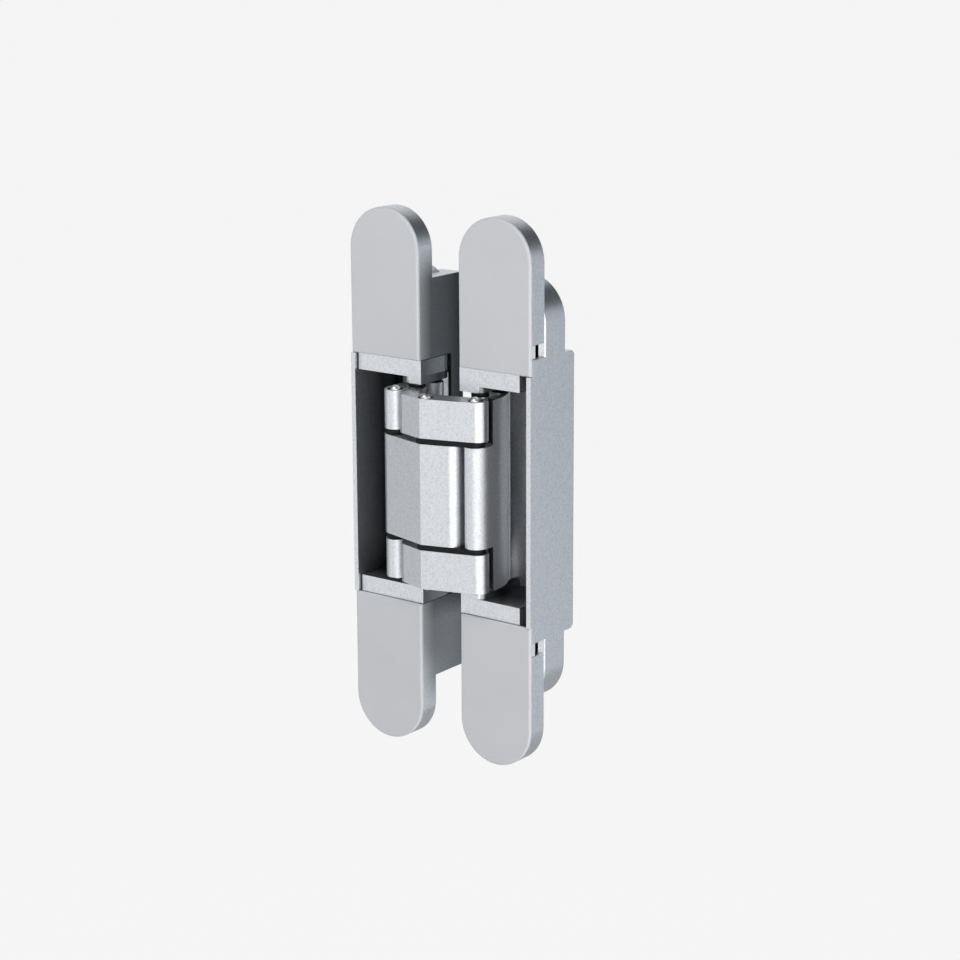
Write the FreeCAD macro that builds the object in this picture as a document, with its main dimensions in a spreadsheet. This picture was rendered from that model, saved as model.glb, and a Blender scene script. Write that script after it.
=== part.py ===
import FreeCAD, Part
import os
import math
import Sketcher

# Concealed door hinge, shown fully open: two mirrored leaves side by side, joined by a linkage
# of two crossed arms and two links that turn on seven upright pins.
# X runs across the leaves, +Y points into the door and the frame, +Z points up.
# The origin is the middle of the left leaf, on the shoulder that rests in the routed pocket.
V = FreeCAD.Vector
doc = FreeCAD.newDocument("hinge")
sheet = doc.addObject("Spreadsheet::Sheet", "Sizes")

# Driving sizes in millimetres. "in" is measured from a leaf's inner side, the side that faces the
# other leaf, and "deep" from the front face of its caps.
SIZES = {
    # Leaves, across and in depth
    "leaf_width": 24.0,
    "leaf_gap": 14.2,
    "plate_depth": 6.75,
    "cap_thickness": 1.1,
    "cap_edge": 0.3,
    "mid_depth": 16.1,
    "mid_inset": 0.35,
    "deep_depth": 20.5,
    "flange_width": 7.5,
    "rear_bevel": 1.0,
    # Pocket that takes the folded linkage
    "rim_wall": 1.15,
    "floor_wall": 1.2,
    "inner_wall": 1.2,
    "window_depth": 15.1,
    # Heights, each measured on from the piece before it, out from the middle of the hinge
    "middle_half": 14.35,
    "washer_thickness": 1.55,
    "arm_plate": 11.1,
    "barrel_rise": 1.35,
    "boss_height": 1.9,
    "block_height": 4.8,
    "step_height": 3.3,
    "tongue_length": 11.5,
    "clamp_offset": 6.1,
    "pin_grip": 5.6,
    "pocket_play": 0.3,
    "end_wall": 1.05,
    "cap_play": 0.1,
    "near_screw_offset": 5.8,
    "screw_spacing": 14.4,
    "end_margin": 7.3,
    "mid_margin": 4.85,
    "flange_margin": 2.2,
    "latch_offset": 7.6,
    # Screws through the leaf
    "screw_bore": 2.75,
    "screw_seat": 4.75,
    # Cap clips and latches
    "clip_height": 3.8,
    "clip_cut": 2.0,
    "clip_gap": 0.4,
    "clip_thickness": 1.0,
    "clip_reach": 4.2,
    "latch_width": 3.2,
    "latch_length": 3.0,
    # Carriage blocks
    "block_front": 1.2,
    "block_proud": 0.6,
    "side_play": 3.1,
    "side_travel": 1.6,
    "corner_relief": 0.9,
    "boss_width": 6.8,
    "boss_round": 2.6,
    "block_edge": 0.3,
    "tongue_width": 10.6,
    "tongue_front": 7.0,
    "tongue_back": 11.6,
    "clamp_radius": 2.4,
    "clamp_head": 4.0,
    "clamp_head_depth": 2.6,
    "clamp_length": 11.4,
    "clamp_socket": 1.7,
    "clamp_socket_depth": 1.6,
    # Pivots in plan
    "arm_pivot_in": 4.0,
    "arm_pivot_deep": 4.5,
    "link_pivot_in": 4.6,
    "link_pivot_deep": 12.6,
    "knuckle_in": 6.9,
    "knuckle_deep": -1.594,
    "cross_deep": -5.75,
    # Arms
    "arm_barrel": 2.5,
    "arm_end": 3.15,
    "end_shift": 0.35,
    "ridge_deep": -8.57,
    "arm_corner": 2.2,
    "arm_corner_clear": 0.85,
    "arm_back": 2.95,
    "arm_waist": 5.0,
    # Links
    "link_barrel": 3.0,
    "link_knuckle": 3.1,
    "link_out": 10.4,
    "link_out_deep": 3.0,
    "link_wall": 2.8,
    "link_neck_front": 2.0,
    "link_neck_back": 8.9,
    "link_clear": 0.95,
    # Pins, washers and fits
    "pin_radius": 1.6,
    "pivot_pin_radius": 1.3,
    "head_height": 1.1,
    "running_fit": 0.05,
    "press_fit": 0.01,
    "end_play": 0.05,
    "washer_radius": 2.5,
    "slot_reach": 2.6,
    "slot_play": 0.55,
}


class Term:
    """A length that holds both its number and the sheet formula that gives it."""

    def __init__(self, value, text):
        self.value = value
        self.text = text

    def __add__(self, other):
        other = term(other)
        return Term(self.value + other.value, "(%s + %s)" % (self.text, other.text))

    def __sub__(self, other):
        other = term(other)
        return Term(self.value - other.value, "(%s - %s)" % (self.text, other.text))

    def __mul__(self, other):
        other = term(other)
        return Term(self.value * other.value, "(%s * %s)" % (self.text, other.text))

    def __truediv__(self, other):
        other = term(other)
        return Term(self.value / other.value, "(%s / %s)" % (self.text, other.text))

    def __neg__(self):
        return Term(-self.value, "(0 - %s)" % self.text)

    def __radd__(self, other):
        return term(other) + self

    def __rsub__(self, other):
        return term(other) - self

    def __rmul__(self, other):
        return term(other) * self


def term(value):
    return value if isinstance(value, Term) else Term(float(value), repr(float(value)))


def root(value):
    return Term(math.sqrt(value.value), "sqrt(%s)" % value.text)


class Sizes:
    """Every driving size as a Term, by its name in the sheet."""


for row, (alias, number) in enumerate(SIZES.items(), start=1):
    sheet.set("A%d" % row, alias)
    sheet.set("B%d" % row, repr(number))
    sheet.setAlias("B%d" % row, alias)
    setattr(Sizes, alias, Term(number, "Sizes." + alias))
doc.recompute()
S = Sizes

PARTS = []


# Document helpers

def new_body(name):
    body = doc.addObject("PartDesign::Body", name)
    body.Label = name
    PARTS.append(body)
    return body


def origin_plane(body, role):
    return next(f for f in body.Origin.OriginFeatures if f.Role == role)


def new_sketch(body, role, level):
    """A sketch on one of the body's origin planes, moved along Z or along +Y by level."""
    sketch = body.newObject("Sketcher::SketchObject", body.Name + "_sketch")
    sketch.AttachmentSupport = [(origin_plane(body, role), "")]
    sketch.MapMode = "FlatFace"
    shift = term(level) if role == "XY_Plane" else -term(level)
    sketch.AttachmentOffset = FreeCAD.Placement(V(0, 0, shift.value), FreeCAD.Rotation())
    sketch.setExpression("AttachmentOffset.Base.z", shift.text)
    return sketch


def plan(body, level):
    return new_sketch(body, "XY_Plane", level)


def front(body, depth):
    return new_sketch(body, "XZ_Plane", depth)


def place_point(sketch, geometry, point, x, y, rules, formulas):
    """Dimensions a point from the sketch's origin, or holds it on an axis where it lies on one."""
    for kind, axis, value in (("DistanceX", -2, term(x)), ("DistanceY", -1, term(y))):
        if abs(value.value) < 1e-9:
            rules.append(Sketcher.Constraint("PointOnObject", geometry, point, axis))
            formulas.append("")
        else:
            rules.append(Sketcher.Constraint(kind, -1, 1, geometry, point, value.value))
            formulas.append(value.text)


def apply_rules(sketch, rules, formulas):
    numbers = sketch.addConstraint(rules)
    for number, formula in zip(numbers, formulas):
        if formula:
            sketch.setExpression("Constraints[%d]" % number, formula)


def circle(sketch, x, y, radius):
    x, y, radius = term(x), term(y), term(radius)
    geometry = sketch.addGeometry(Part.Circle(V(x.value, y.value, 0), V(0, 0, 1), radius.value), False)
    rules = []
    formulas = []
    place_point(sketch, geometry, 3, x, y, rules, formulas)
    rules.append(Sketcher.Constraint("Radius", geometry, radius.value))
    formulas.append(radius.text)
    apply_rules(sketch, rules, formulas)
    return sketch


def outline(sketch, corners):
    """A closed outline. A corner is (x, y), or (x, y, radius, turn) where an arc arrives at it:
    turn is 1 for an arc that curves to the left on the way and -1 to the right."""
    corners = [tuple(term(v) for v in c[:3]) + tuple(c[3:]) for c in corners]
    rules = []
    formulas = []
    first = None
    last = None
    start = corners[-1]
    for corner in corners:
        a = V(start[0].value, start[1].value, 0)
        b = V(corner[0].value, corner[1].value, 0)
        if len(corner) > 2:
            radius, turn = corner[2].value, corner[3]
            chord = b.sub(a)
            rise = math.sqrt(max(radius ** 2 - (chord.Length / 2) ** 2, 0.0))
            side = V(-chord.y, chord.x, 0).normalize()
            centre = a.add(chord.multiply(0.5)).add(V(side.x * rise * turn, side.y * rise * turn, 0))
            middle = a.add(b).multiply(0.5).sub(centre)
            if middle.Length < 1e-6:
                middle = V(-side.x * turn, -side.y * turn, 0)
            top = centre.add(middle.normalize().multiply(radius))
            geometry = sketch.addGeometry(Part.Arc(a, top, b), False)
            ends = (1, 2) if turn > 0 else (2, 1)
            if rise < 1e-6:
                # A half circle: its centre is held level with its ends instead
                level = abs(b.x - a.x) > abs(b.y - a.y)
                mean = (start[1] + corner[1]) / 2 if level else (start[0] + corner[0]) / 2
                kind = "DistanceY" if level else "DistanceX"
                rules.append(Sketcher.Constraint(kind, -1, 1, geometry, 3, mean.value))
                formulas.append(mean.text)
            else:
                rules.append(Sketcher.Constraint("Radius", geometry, radius))
                formulas.append(corner[2].text)
        else:
            geometry = sketch.addGeometry(Part.LineSegment(a, b), False)
            ends = (1, 2)
        if last is None:
            first = (geometry, ends[0])
        else:
            rules.append(Sketcher.Constraint("Coincident", last[0], last[1], geometry, ends[0]))
            formulas.append("")
        place_point(sketch, geometry, ends[1], corner[0], corner[1], rules, formulas)
        last = (geometry, ends[1])
        start = corner
    rules.append(Sketcher.Constraint("Coincident", last[0], last[1], first[0], first[1]))
    formulas.append("")
    apply_rules(sketch, rules, formulas)
    return sketch


def box_outline(sketch, x0, y0, x1, y1):
    return outline(sketch, [(x0, y0), (x1, y0), (x1, y1), (x0, y1)])


def extrude(kind, body, sketch, length, reverse):
    feature = body.newObject("PartDesign::" + kind, body.Name + "_" + kind.lower())
    feature.Profile = sketch
    feature.Length = term(length).value
    feature.setExpression("Length", term(length).text)
    feature.Reversed = reverse
    doc.recompute()
    if "Invalid" in sketch.State or "Invalid" in feature.State:
        raise RuntimeError("%s: %s %s" % (feature.Name, sketch.State, feature.State))
    body.Tip = feature
    return feature


def pad_up(body, sketch, height):
    return extrude("Pad", body, sketch, height, False)


def cut_up(body, sketch, height):
    return extrude("Pocket", body, sketch, height, True)


def pad_back(body, sketch, depth):
    return extrude("Pad", body, sketch, depth, True)


def cut_back(body, sketch, depth):
    return extrude("Pocket", body, sketch, depth, False)


def pick_edges(body, test):
    return ["Edge%d" % (n + 1) for n, edge in enumerate(body.Tip.Shape.Edges) if test(edge)]


def soften(kind, body, size, test):
    """Rounds or bevels the edges of the body's last feature that pass the test."""
    base = body.Tip
    names = pick_edges(body, test)
    feature = body.newObject("PartDesign::" + kind, body.Name + "_" + kind.lower())
    feature.Base = (base, names)
    prop = "Radius" if kind == "Fillet" else "Size"
    setattr(feature, prop, size.value)
    feature.setExpression(prop, size.text)
    doc.recompute()
    body.Tip = feature
    return feature


# Geometry helpers

def tangent_point(x, y, cx, cy, radius, side):
    """Where the tangent from (x, y) touches a circle; side 1 is left of the way to the centre."""
    dx = x - cx
    dy = y - cy
    square = dx * dx + dy * dy
    along = radius * radius / square
    across = radius * root(square - radius * radius) / square
    return cx + along * dx + across * dy * side, cy + along * dy - across * dx * side


def flat_at(edge, axis, value, slack=1e-4):
    """True if every point of the edge has this coordinate."""
    box = edge.BoundBox
    low, high = (box.ZMin, box.ZMax) if axis == "z" else (box.YMin, box.YMax)
    return abs(low - value) < slack and abs(high - value) < slack


# Reference lines. A leaf's sign is 1 on the left, where its inner side faces +X.

HALF = S.leaf_width / 2
MIDDLE = HALF + S.leaf_gap / 2
LEFT = 1
RIGHT = -1

# Heights above the middle of the hinge, stacked outward from the linkage to the leaf's ends

PLATE_UNDER = S.middle_half + S.washer_thickness + 2 * S.end_play
ARM_HALF = PLATE_UNDER + S.arm_plate
BARREL_HALF = ARM_HALF + S.barrel_rise
BOSS_UNDER = BARREL_HALF + S.end_play
BLOCK_UNDER = BOSS_UNDER + S.boss_height
BLOCK_STEP = BLOCK_UNDER + S.block_height
BLOCK_TOP = BLOCK_STEP + S.step_height
PIN_HALF = BLOCK_UNDER + S.pin_grip
CLAMP_HEIGHT = BLOCK_TOP + S.clamp_offset
TONGUE_END = BLOCK_TOP + S.tongue_length
POCKET_HALF = BLOCK_TOP + S.pocket_play
DEEP_HALF = POCKET_HALF + S.end_wall
CAP_END = BLOCK_STEP + S.cap_play
CLIP_LOW = DEEP_HALF + S.cap_play
CLIP_HIGH = CLIP_LOW + S.clip_height
NEAR_SCREW = TONGUE_END + S.near_screw_offset
END_SCREW = NEAR_SCREW + S.screw_spacing
LATCH_HEIGHT = NEAR_SCREW + S.latch_offset
LEAF_HALF = END_SCREW + S.end_margin
MID_HALF = NEAR_SCREW + S.mid_margin
FLANGE_HALF = NEAR_SCREW + S.flange_margin


def leaf_x(sign, inward):
    """X of a point that lies inward from the inner side of the leaf."""
    face = HALF if sign == LEFT else HALF + S.leaf_gap
    return face - inward * sign


def deep(depth):
    """Y of a point that lies this deep behind the front face of the caps."""
    return term(depth) - S.plate_depth


def mirrored(sign, points):
    """Outline points given as (inward, depth), on the given leaf."""
    result = []
    for point in points:
        x, y = leaf_x(sign, term(point[0])), deep(point[1])
        result.append((x, y) if len(point) == 2 else (x, y, point[2], -point[3] * sign))
    return result


def pivot(sign, inward, depth):
    return leaf_x(sign, inward), deep(depth)


# Leaves

def capsule(sketch, centre, half_width, half_length):
    """An upright outline with full round ends."""
    straight = half_length - half_width
    return outline(sketch, [
        (centre - half_width, -straight),
        (centre + half_width, -straight, half_width, 1),
        (centre + half_width, straight),
        (centre - half_width, straight, half_width, 1)])


def leaf_centre(sign):
    return leaf_x(sign, HALF)


def casing(name, sign):
    """The cast casing of a leaf: a round-ended plate, a stepped box behind it, and the pocket."""
    body = new_body(name)
    centre = leaf_centre(sign)
    inner = leaf_x(sign, term(0))
    outer = leaf_x(sign, S.leaf_width)
    capsule_plate = capsule(front(body, deep(S.cap_thickness)), centre, HALF, LEAF_HALF)
    pad_back(body, capsule_plate, S.plate_depth - S.cap_thickness)
    capsule_mid = capsule(front(body, deep(S.plate_depth)), centre, HALF - S.mid_inset, MID_HALF)
    pad_back(body, capsule_mid, S.mid_depth - S.plate_depth)
    rim_half = CAP_END - S.end_play
    box = box_outline(front(body, deep(0)), outer, -rim_half, inner, rim_half)
    pad_back(body, box, S.plate_depth)
    deep_box = box_outline(front(body, deep(S.cap_thickness)), outer, -DEEP_HALF, inner, DEEP_HALF)
    pad_back(body, deep_box, S.deep_depth - S.cap_thickness)
    flange = box_outline(front(body, deep(S.cap_thickness)), leaf_x(sign, S.flange_width),
                         -FLANGE_HALF, inner, FLANGE_HALF)
    pad_back(body, flange, S.deep_depth - S.cap_thickness)
    rear = deep(S.deep_depth).value
    soften("Chamfer", body, S.rear_bevel, lambda e: flat_at(e, "y", rear)
           and abs(e.BoundBox.ZMax - e.BoundBox.ZMin) < 1e-4
           and abs(abs(e.BoundBox.ZMax) - DEEP_HALF.value) < 1e-4)
    # Pocket for the blocks and the folded linkage
    rim = leaf_x(sign, S.leaf_width - S.rim_wall)
    wall = leaf_x(sign, S.inner_wall)
    hollow = box_outline(front(body, deep(0)), rim, -POCKET_HALF, wall, POCKET_HALF)
    cut_back(body, hollow, S.deep_depth - S.floor_wall)
    window_half = BLOCK_STEP + 2 * S.cap_play
    window = box_outline(front(body, deep(0)), leaf_x(sign, -term(1)), -window_half,
                         leaf_x(sign, 2 * S.inner_wall), window_half)
    cut_back(body, window, S.window_depth)
    for up in (1, -1):
        tongue_bay(body, centre, up)
        screw_hole(body, centre, up * END_SCREW)
        screw_hole(body, centre, up * NEAR_SCREW)
        latch = square(front(body, deep(S.cap_thickness)), centre, up * LATCH_HEIGHT, S.latch_width)
        cut_back(body, latch, S.latch_length + S.clip_gap)
        notch = box_outline(front(body, deep(0)), leaf_x(sign, S.leaf_width + 1), up * CLIP_LOW,
                            leaf_x(sign, S.leaf_width - S.clip_cut), up * CLIP_HIGH)
        cut_back(body, notch, S.plate_depth)
    return body


def square(sketch, x, y, width):
    half = width / 2
    return box_outline(sketch, x - half, y - half, x + half, y + half)


def tongue_bay(body, centre, up):
    """The shallow bay under a cap for a block's tongue, with the clamp screw's threaded bore."""
    reach = S.tongue_width / 2 + S.side_travel + S.clip_gap
    bay = box_outline(front(body, deep(0)), centre - reach, up * (POCKET_HALF - 1),
                      centre + reach, up * (TONGUE_END + S.clip_gap))
    cut_back(body, bay, S.tongue_back + S.end_play)
    bore = circle(front(body, deep(0)), centre, up * CLAMP_HEIGHT, S.clamp_radius + S.press_fit)
    cut_back(body, bore, S.deep_depth + 1)


def screw_hole(body, centre, height):
    """A countersunk hole through the casing for a fixing screw."""
    cut_back(body, circle(front(body, deep(0)), centre, height, S.screw_bore), S.deep_depth + 1)
    lip = deep(S.cap_thickness).value
    near = height.value
    radius = S.screw_bore.value

    def bore_lip(edge):
        box = edge.BoundBox
        return (flat_at(edge, "y", lip) and abs((box.ZMin + box.ZMax) / 2 - near) < 1e-3
                and abs(box.ZMax - box.ZMin - 2 * radius) < 1e-3)
    soften("Chamfer", body, S.screw_seat - S.screw_bore, bore_lip)


def cap(name, sign, up):
    """A moulded cap: thin, round-ended, with a clip tab in the casing's notch and a latch."""
    body = new_body(name)
    centre = leaf_centre(sign)
    straight = (LEAF_HALF - HALF) * up
    lower = CAP_END * up
    turn = 1 if up > 0 else -1
    shape = outline(front(body, deep(0)), [
        (centre - HALF, lower), (centre + HALF, lower),
        (centre + HALF, straight), (centre - HALF, straight, HALF, turn)])
    pad_back(body, shape, S.cap_thickness)
    face = deep(0).value
    soften("Chamfer", body, S.cap_edge, lambda e: flat_at(e, "y", face))
    cut_side = S.leaf_width - S.clip_cut + S.clip_gap
    tab = box_outline(front(body, deep(S.cap_thickness)), leaf_x(sign, cut_side),
                      up * (CLIP_LOW + S.clip_gap), leaf_x(sign, cut_side + S.clip_thickness),
                      up * (CLIP_HIGH - S.clip_gap))
    pad_back(body, tab, S.clip_reach)
    latch = square(front(body, deep(S.cap_thickness)), centre, up * LATCH_HEIGHT,
                   S.latch_width - 2 * S.running_fit)
    pad_back(body, latch, S.latch_length)
    return body


# Carriage blocks

def block(name, sign, up):
    """A block that carries one end of the arm pin and of the link pin, with its clamp tongue."""
    body = new_body(name)
    play = term(S.clip_gap) if sign == LEFT else S.side_play
    far = S.leaf_width - S.rim_wall - play
    near = S.inner_wall + S.clip_gap / 2 + (term(0) if sign == LEFT else S.side_travel)
    back = S.deep_depth - S.floor_wall - S.clip_gap / 2
    pin_in = S.link_pivot_in
    pin_deep = S.link_pivot_deep
    # The adjustable block stands proud of its leaf. The rounded rear corner stays clear of the
    # pocket's wall, side travel included.
    proud = term(0) if sign == LEFT else S.block_proud
    relief = S.corner_relief * (1 if sign == LEFT else 2)
    round_deep = pin_deep - relief
    inner_side = [(pin_in, back), (pin_in, round_deep + pin_in),
                  (-proud, round_deep - proud, pin_in + proud, 1), (-proud, S.block_front)]
    low = BLOCK_UNDER if up > 0 else -BLOCK_STEP
    slab = mirrored(sign, [(far, S.block_front), (far, back)] + inner_side)
    pad_up(body, outline(plan(body, low), slab), S.block_height)
    low = BLOCK_STEP if up > 0 else -BLOCK_TOP
    step_front = S.block_front + S.cap_thickness
    step = mirrored(sign, [(near, step_front), (far, step_front), (far, back), (pin_in, back),
                           (near, round_deep)])
    pad_up(body, outline(plan(body, low), step), S.step_height)
    # The boss that both pins enter, with its far front corner rounded
    low = BOSS_UNDER if up > 0 else -BLOCK_UNDER
    boss = mirrored(sign, [(S.boss_width - S.boss_round, S.block_front),
                           (S.boss_width, S.block_front + S.boss_round, S.boss_round, -1),
                           (S.boss_width, back)] + inner_side)
    pad_up(body, outline(plan(body, low), boss), S.boss_height)
    # Tongue under the cap
    centre = leaf_centre(sign)
    half = S.tongue_width / 2
    tongue = box_outline(front(body, deep(S.tongue_front)), centre - half, up * (BLOCK_TOP - 1),
                         centre + half, up * TONGUE_END)
    pad_back(body, tongue, S.tongue_back - S.tongue_front)
    # Slot for the clamp screw, long enough for the side adjustment
    reach = term(0) if sign == LEFT else S.side_travel
    width = S.clamp_radius + S.slot_play / 2
    height = up * CLAMP_HEIGHT
    slot = circle(front(body, deep(0)), centre - reach, height, width)
    cut_back(body, slot, S.deep_depth)
    if sign == RIGHT:
        cut_back(body, circle(front(body, deep(0)), centre + reach, height, width), S.deep_depth)
        gap = box_outline(front(body, deep(0)), centre - reach, height - width,
                          centre + reach, height + width)
        cut_back(body, gap, S.deep_depth)
    # Arm pin bore, and the wide slot that lets the link pin follow the fold
    arm_x, arm_y = pivot(sign, S.arm_pivot_in, S.arm_pivot_deep)
    link_x, link_y = pivot(sign, pin_in, pin_deep)
    start = -PIN_HALF - S.end_play if up < 0 else BOSS_UNDER - 1
    length = PIN_HALF + S.end_play - BOSS_UNDER + 1
    cut_up(body, circle(plan(body, start), arm_x, arm_y, S.pivot_pin_radius + S.press_fit), length)
    wide = S.pivot_pin_radius + S.slot_play
    near_y = link_y - S.slot_reach
    travel = outline(plan(body, start), [
        (link_x - wide, near_y), (link_x + wide, near_y, wide, 1), (link_x + wide, link_y),
        (link_x - wide, link_y, wide, 1)])
    cut_up(body, travel, length)
    # Softened front edges, which catch the light
    face = deep(S.block_front).value
    limit = BLOCK_STEP.value + 1e-4
    soften("Chamfer", body, S.block_edge, lambda e: flat_at(e, "y", face)
           and max(abs(e.BoundBox.ZMin), abs(e.BoundBox.ZMax)) < limit
           and e.BoundBox.XMax - e.BoundBox.XMin > S.boss_width.value)
    return body


# Arms

def arm_plan(sign):
    """The corners of an arm in plan. The arm ends in a knuckle on the leaf with this sign and in
    a barrel on the other leaf. Lengths are measured from the middle plane towards the barrel.
    The knuckle's round end is centred a little beyond and behind its pin."""
    knuckle_u = -(S.leaf_gap / 2 + S.knuckle_in)
    barrel_u = S.leaf_gap / 2 + S.arm_pivot_in
    round_u = knuckle_u - S.end_shift
    round_d = S.knuckle_deep + S.end_shift
    end_u, end_d = tangent_point(term(0), S.ridge_deep, round_u, round_d, S.arm_end, 1)
    # Slope of the front flats
    run = end_u
    rise = end_d - S.ridge_deep
    slope = -rise / run
    slant = root(slope * slope + 1)
    side_u = -knuckle_u - S.link_knuckle - S.arm_corner_clear
    corner_u = side_u - S.arm_corner
    corner_d = S.ridge_deep + slope * corner_u + S.arm_corner * slant
    flat_u = corner_u + S.arm_corner * slope / slant
    flat_d = corner_d - S.arm_corner / slant
    back_d = S.cross_deep + S.arm_back
    waist_u, waist_d = S.arm_waist, back_d
    back_u, back_y = tangent_point(waist_u, waist_d, round_u, round_d, S.arm_end, -1)
    foot_u, foot_d = tangent_point(waist_u, waist_d, barrel_u, S.arm_pivot_deep, S.arm_barrel, 1)
    return {
        "knuckle": (knuckle_u, S.knuckle_deep),
        "round": (round_u, round_d),
        "barrel": (barrel_u, S.arm_pivot_deep),
        "corners": [
            (end_u, end_d), (term(0), S.ridge_deep), (flat_u, flat_d),
            (side_u, corner_d, S.arm_corner, 1),
            (side_u, S.arm_pivot_deep), (barrel_u, S.arm_pivot_deep), (foot_u, foot_d),
            (waist_u, waist_d), (back_u, back_y), (round_u, round_d)],
    }


def arm_points(sign, points):
    """Moves arm corners, measured from the middle plane, to X and Y."""
    result = []
    for point in points:
        x, y = MIDDLE + point[0] * sign, deep(point[1])
        result.append((x, y) if len(point) == 2 else (x, y, point[2], point[3] * sign))
    return result


def arm(name, sign, levels):
    """An arm whose barrel reaches from boss to boss. levels lists each plate's (low, high)."""
    body = new_body(name)
    shape = arm_plan(sign)
    barrel_x, barrel_y = arm_points(sign, [shape["barrel"]])[0]
    knuckle_x, knuckle_y = arm_points(sign, [shape["knuckle"]])[0]
    round_x, round_y = arm_points(sign, [shape["round"]])[0]
    pad_up(body, circle(plan(body, -BARREL_HALF), barrel_x, barrel_y, S.arm_barrel), 2 * BARREL_HALF)
    for low, high in levels:
        pad_up(body, outline(plan(body, low), arm_points(sign, shape["corners"])), high - low)
        pad_up(body, circle(plan(body, low), round_x, round_y, S.arm_end), high - low)
    return body, barrel_x, barrel_y, knuckle_x, knuckle_y


def drill(body, x, y, radius, low, high):
    cut_up(body, circle(plan(body, low), x, y, radius), high - low)


CROSS_X = MIDDLE
CROSS_Y = deep(S.cross_deep)


def outer_arm():
    """Upper and lower plates that pivot on the left leaf and end in knuckles on the right."""
    levels = [(PLATE_UNDER, ARM_HALF), (-ARM_HALF, -PLATE_UNDER)]
    body, barrel_x, barrel_y, knuckle_x, knuckle_y = arm("outer_arm", RIGHT, levels)
    low, high = -BARREL_HALF - 1, BARREL_HALF + 1
    drill(body, barrel_x, barrel_y, S.pivot_pin_radius + S.running_fit, low, high)
    for x, y in ((CROSS_X, CROSS_Y), (knuckle_x, knuckle_y)):
        drill(body, x, y, S.pin_radius + S.press_fit, low, high)
    return body


def inner_arm():
    """The middle plate that pivots on the right leaf and ends in a knuckle on the left."""
    body, barrel_x, barrel_y, knuckle_x, knuckle_y = arm("inner_arm", LEFT, [(-S.middle_half, S.middle_half)])
    low, high = -BARREL_HALF - 1, BARREL_HALF + 1
    drill(body, barrel_x, barrel_y, S.pivot_pin_radius + S.running_fit, low, high)
    drill(body, CROSS_X, CROSS_Y, S.pin_radius + S.running_fit, low, high)
    drill(body, knuckle_x, knuckle_y, S.pin_radius + S.press_fit, low, high)
    return body


# Links

def link_corners():
    """The corners of a link in plan, as (inward, depth): it bulges outward round the arm's barrel."""
    drop = S.link_out - S.link_pivot_in - S.link_barrel
    height = S.link_pivot_deep - S.link_out_deep
    bow = (drop * drop + height * height) / (2 * drop)
    inside = S.link_out - S.link_wall
    out_in, out_deep = tangent_point(S.link_out, S.link_out_deep, S.knuckle_in, S.knuckle_deep,
                                     S.link_knuckle, 1)
    return [
        (S.knuckle_in, S.knuckle_deep), (out_in, out_deep), (S.link_out, S.link_out_deep),
        (S.link_pivot_in + S.link_barrel, S.link_pivot_deep, bow, 1),
        (S.link_pivot_in, S.link_pivot_deep), (inside, S.link_neck_back), (inside, S.link_neck_front)]


def link(name, sign, knuckles, cuts):
    """A link whose barrel reaches from boss to boss. knuckles and cuts list (low, high) levels."""
    body = new_body(name)
    knuckle_x, knuckle_y = pivot(sign, S.knuckle_in, S.knuckle_deep)
    barrel_x, barrel_y = pivot(sign, S.link_pivot_in, S.link_pivot_deep)
    pad_up(body, circle(plan(body, -BARREL_HALF), barrel_x, barrel_y, S.link_barrel), 2 * BARREL_HALF)
    pad_up(body, outline(plan(body, -ARM_HALF), mirrored(sign, link_corners())), 2 * ARM_HALF)
    for low, high in cuts:
        drill(body, knuckle_x, knuckle_y, S.arm_end + 2 * S.end_shift + S.link_clear, low, high)
    for low, high in knuckles:
        pad_up(body, circle(plan(body, low), knuckle_x, knuckle_y, S.link_knuckle), high - low)
    low, high = -BARREL_HALF - 1, BARREL_HALF + 1
    drill(body, knuckle_x, knuckle_y, S.pin_radius + S.running_fit, low, high)
    drill(body, barrel_x, barrel_y, S.pivot_pin_radius + S.press_fit, low, high)
    return body


def left_link():
    """Holds the inner arm's knuckle between its own upper and lower knuckles."""
    knuckles = [(PLATE_UNDER, ARM_HALF), (-ARM_HALF, -PLATE_UNDER)]
    return link("left_link", LEFT, knuckles, [(-PLATE_UNDER, PLATE_UNDER)])


def right_link():
    """One long knuckle that sits between the outer arm's knuckles."""
    cuts = [(S.middle_half, ARM_HALF + 1), (-ARM_HALF - 1, -S.middle_half)]
    return link("right_link", RIGHT, [(-S.middle_half, S.middle_half)], cuts)


# Pins, washers and screws

def place(body, x, y):
    body.Placement.Base = V(x.value, y.value, 0)
    body.setExpression("Placement.Base.x", x.text)
    body.setExpression("Placement.Base.y", y.text)


def turned(name, corners):
    """A turned piece: a half section in (radius, height), spun about the upright axis."""
    body = new_body(name)
    sketch = outline(front(body, term(0)), corners)
    feature = body.newObject("PartDesign::Revolution", name + "_turn")
    feature.Profile = sketch
    feature.ReferenceAxis = (sketch, ["V_Axis"])
    feature.Angle = 360
    doc.recompute()
    body.Tip = feature
    return body


def upright_pin(name, x, y, radius, half):
    """A plain pin, as long above the middle of the hinge as below."""
    body = turned(name, [(term(0), -half), (radius, -half), (radius, half), (term(0), half)])
    place(body, x, y)
    return body


def riveted_pin(name, x, y):
    """A pin whose rivet heads stand proud of the arm."""
    return upright_pin(name, x, y, S.pin_radius, ARM_HALF + S.head_height)


def pivot_pin(name, x, y):
    """A pin that seats in the blocks above and below."""
    return upright_pin(name, x, y, S.pivot_pin_radius, PIN_HALF)


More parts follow.
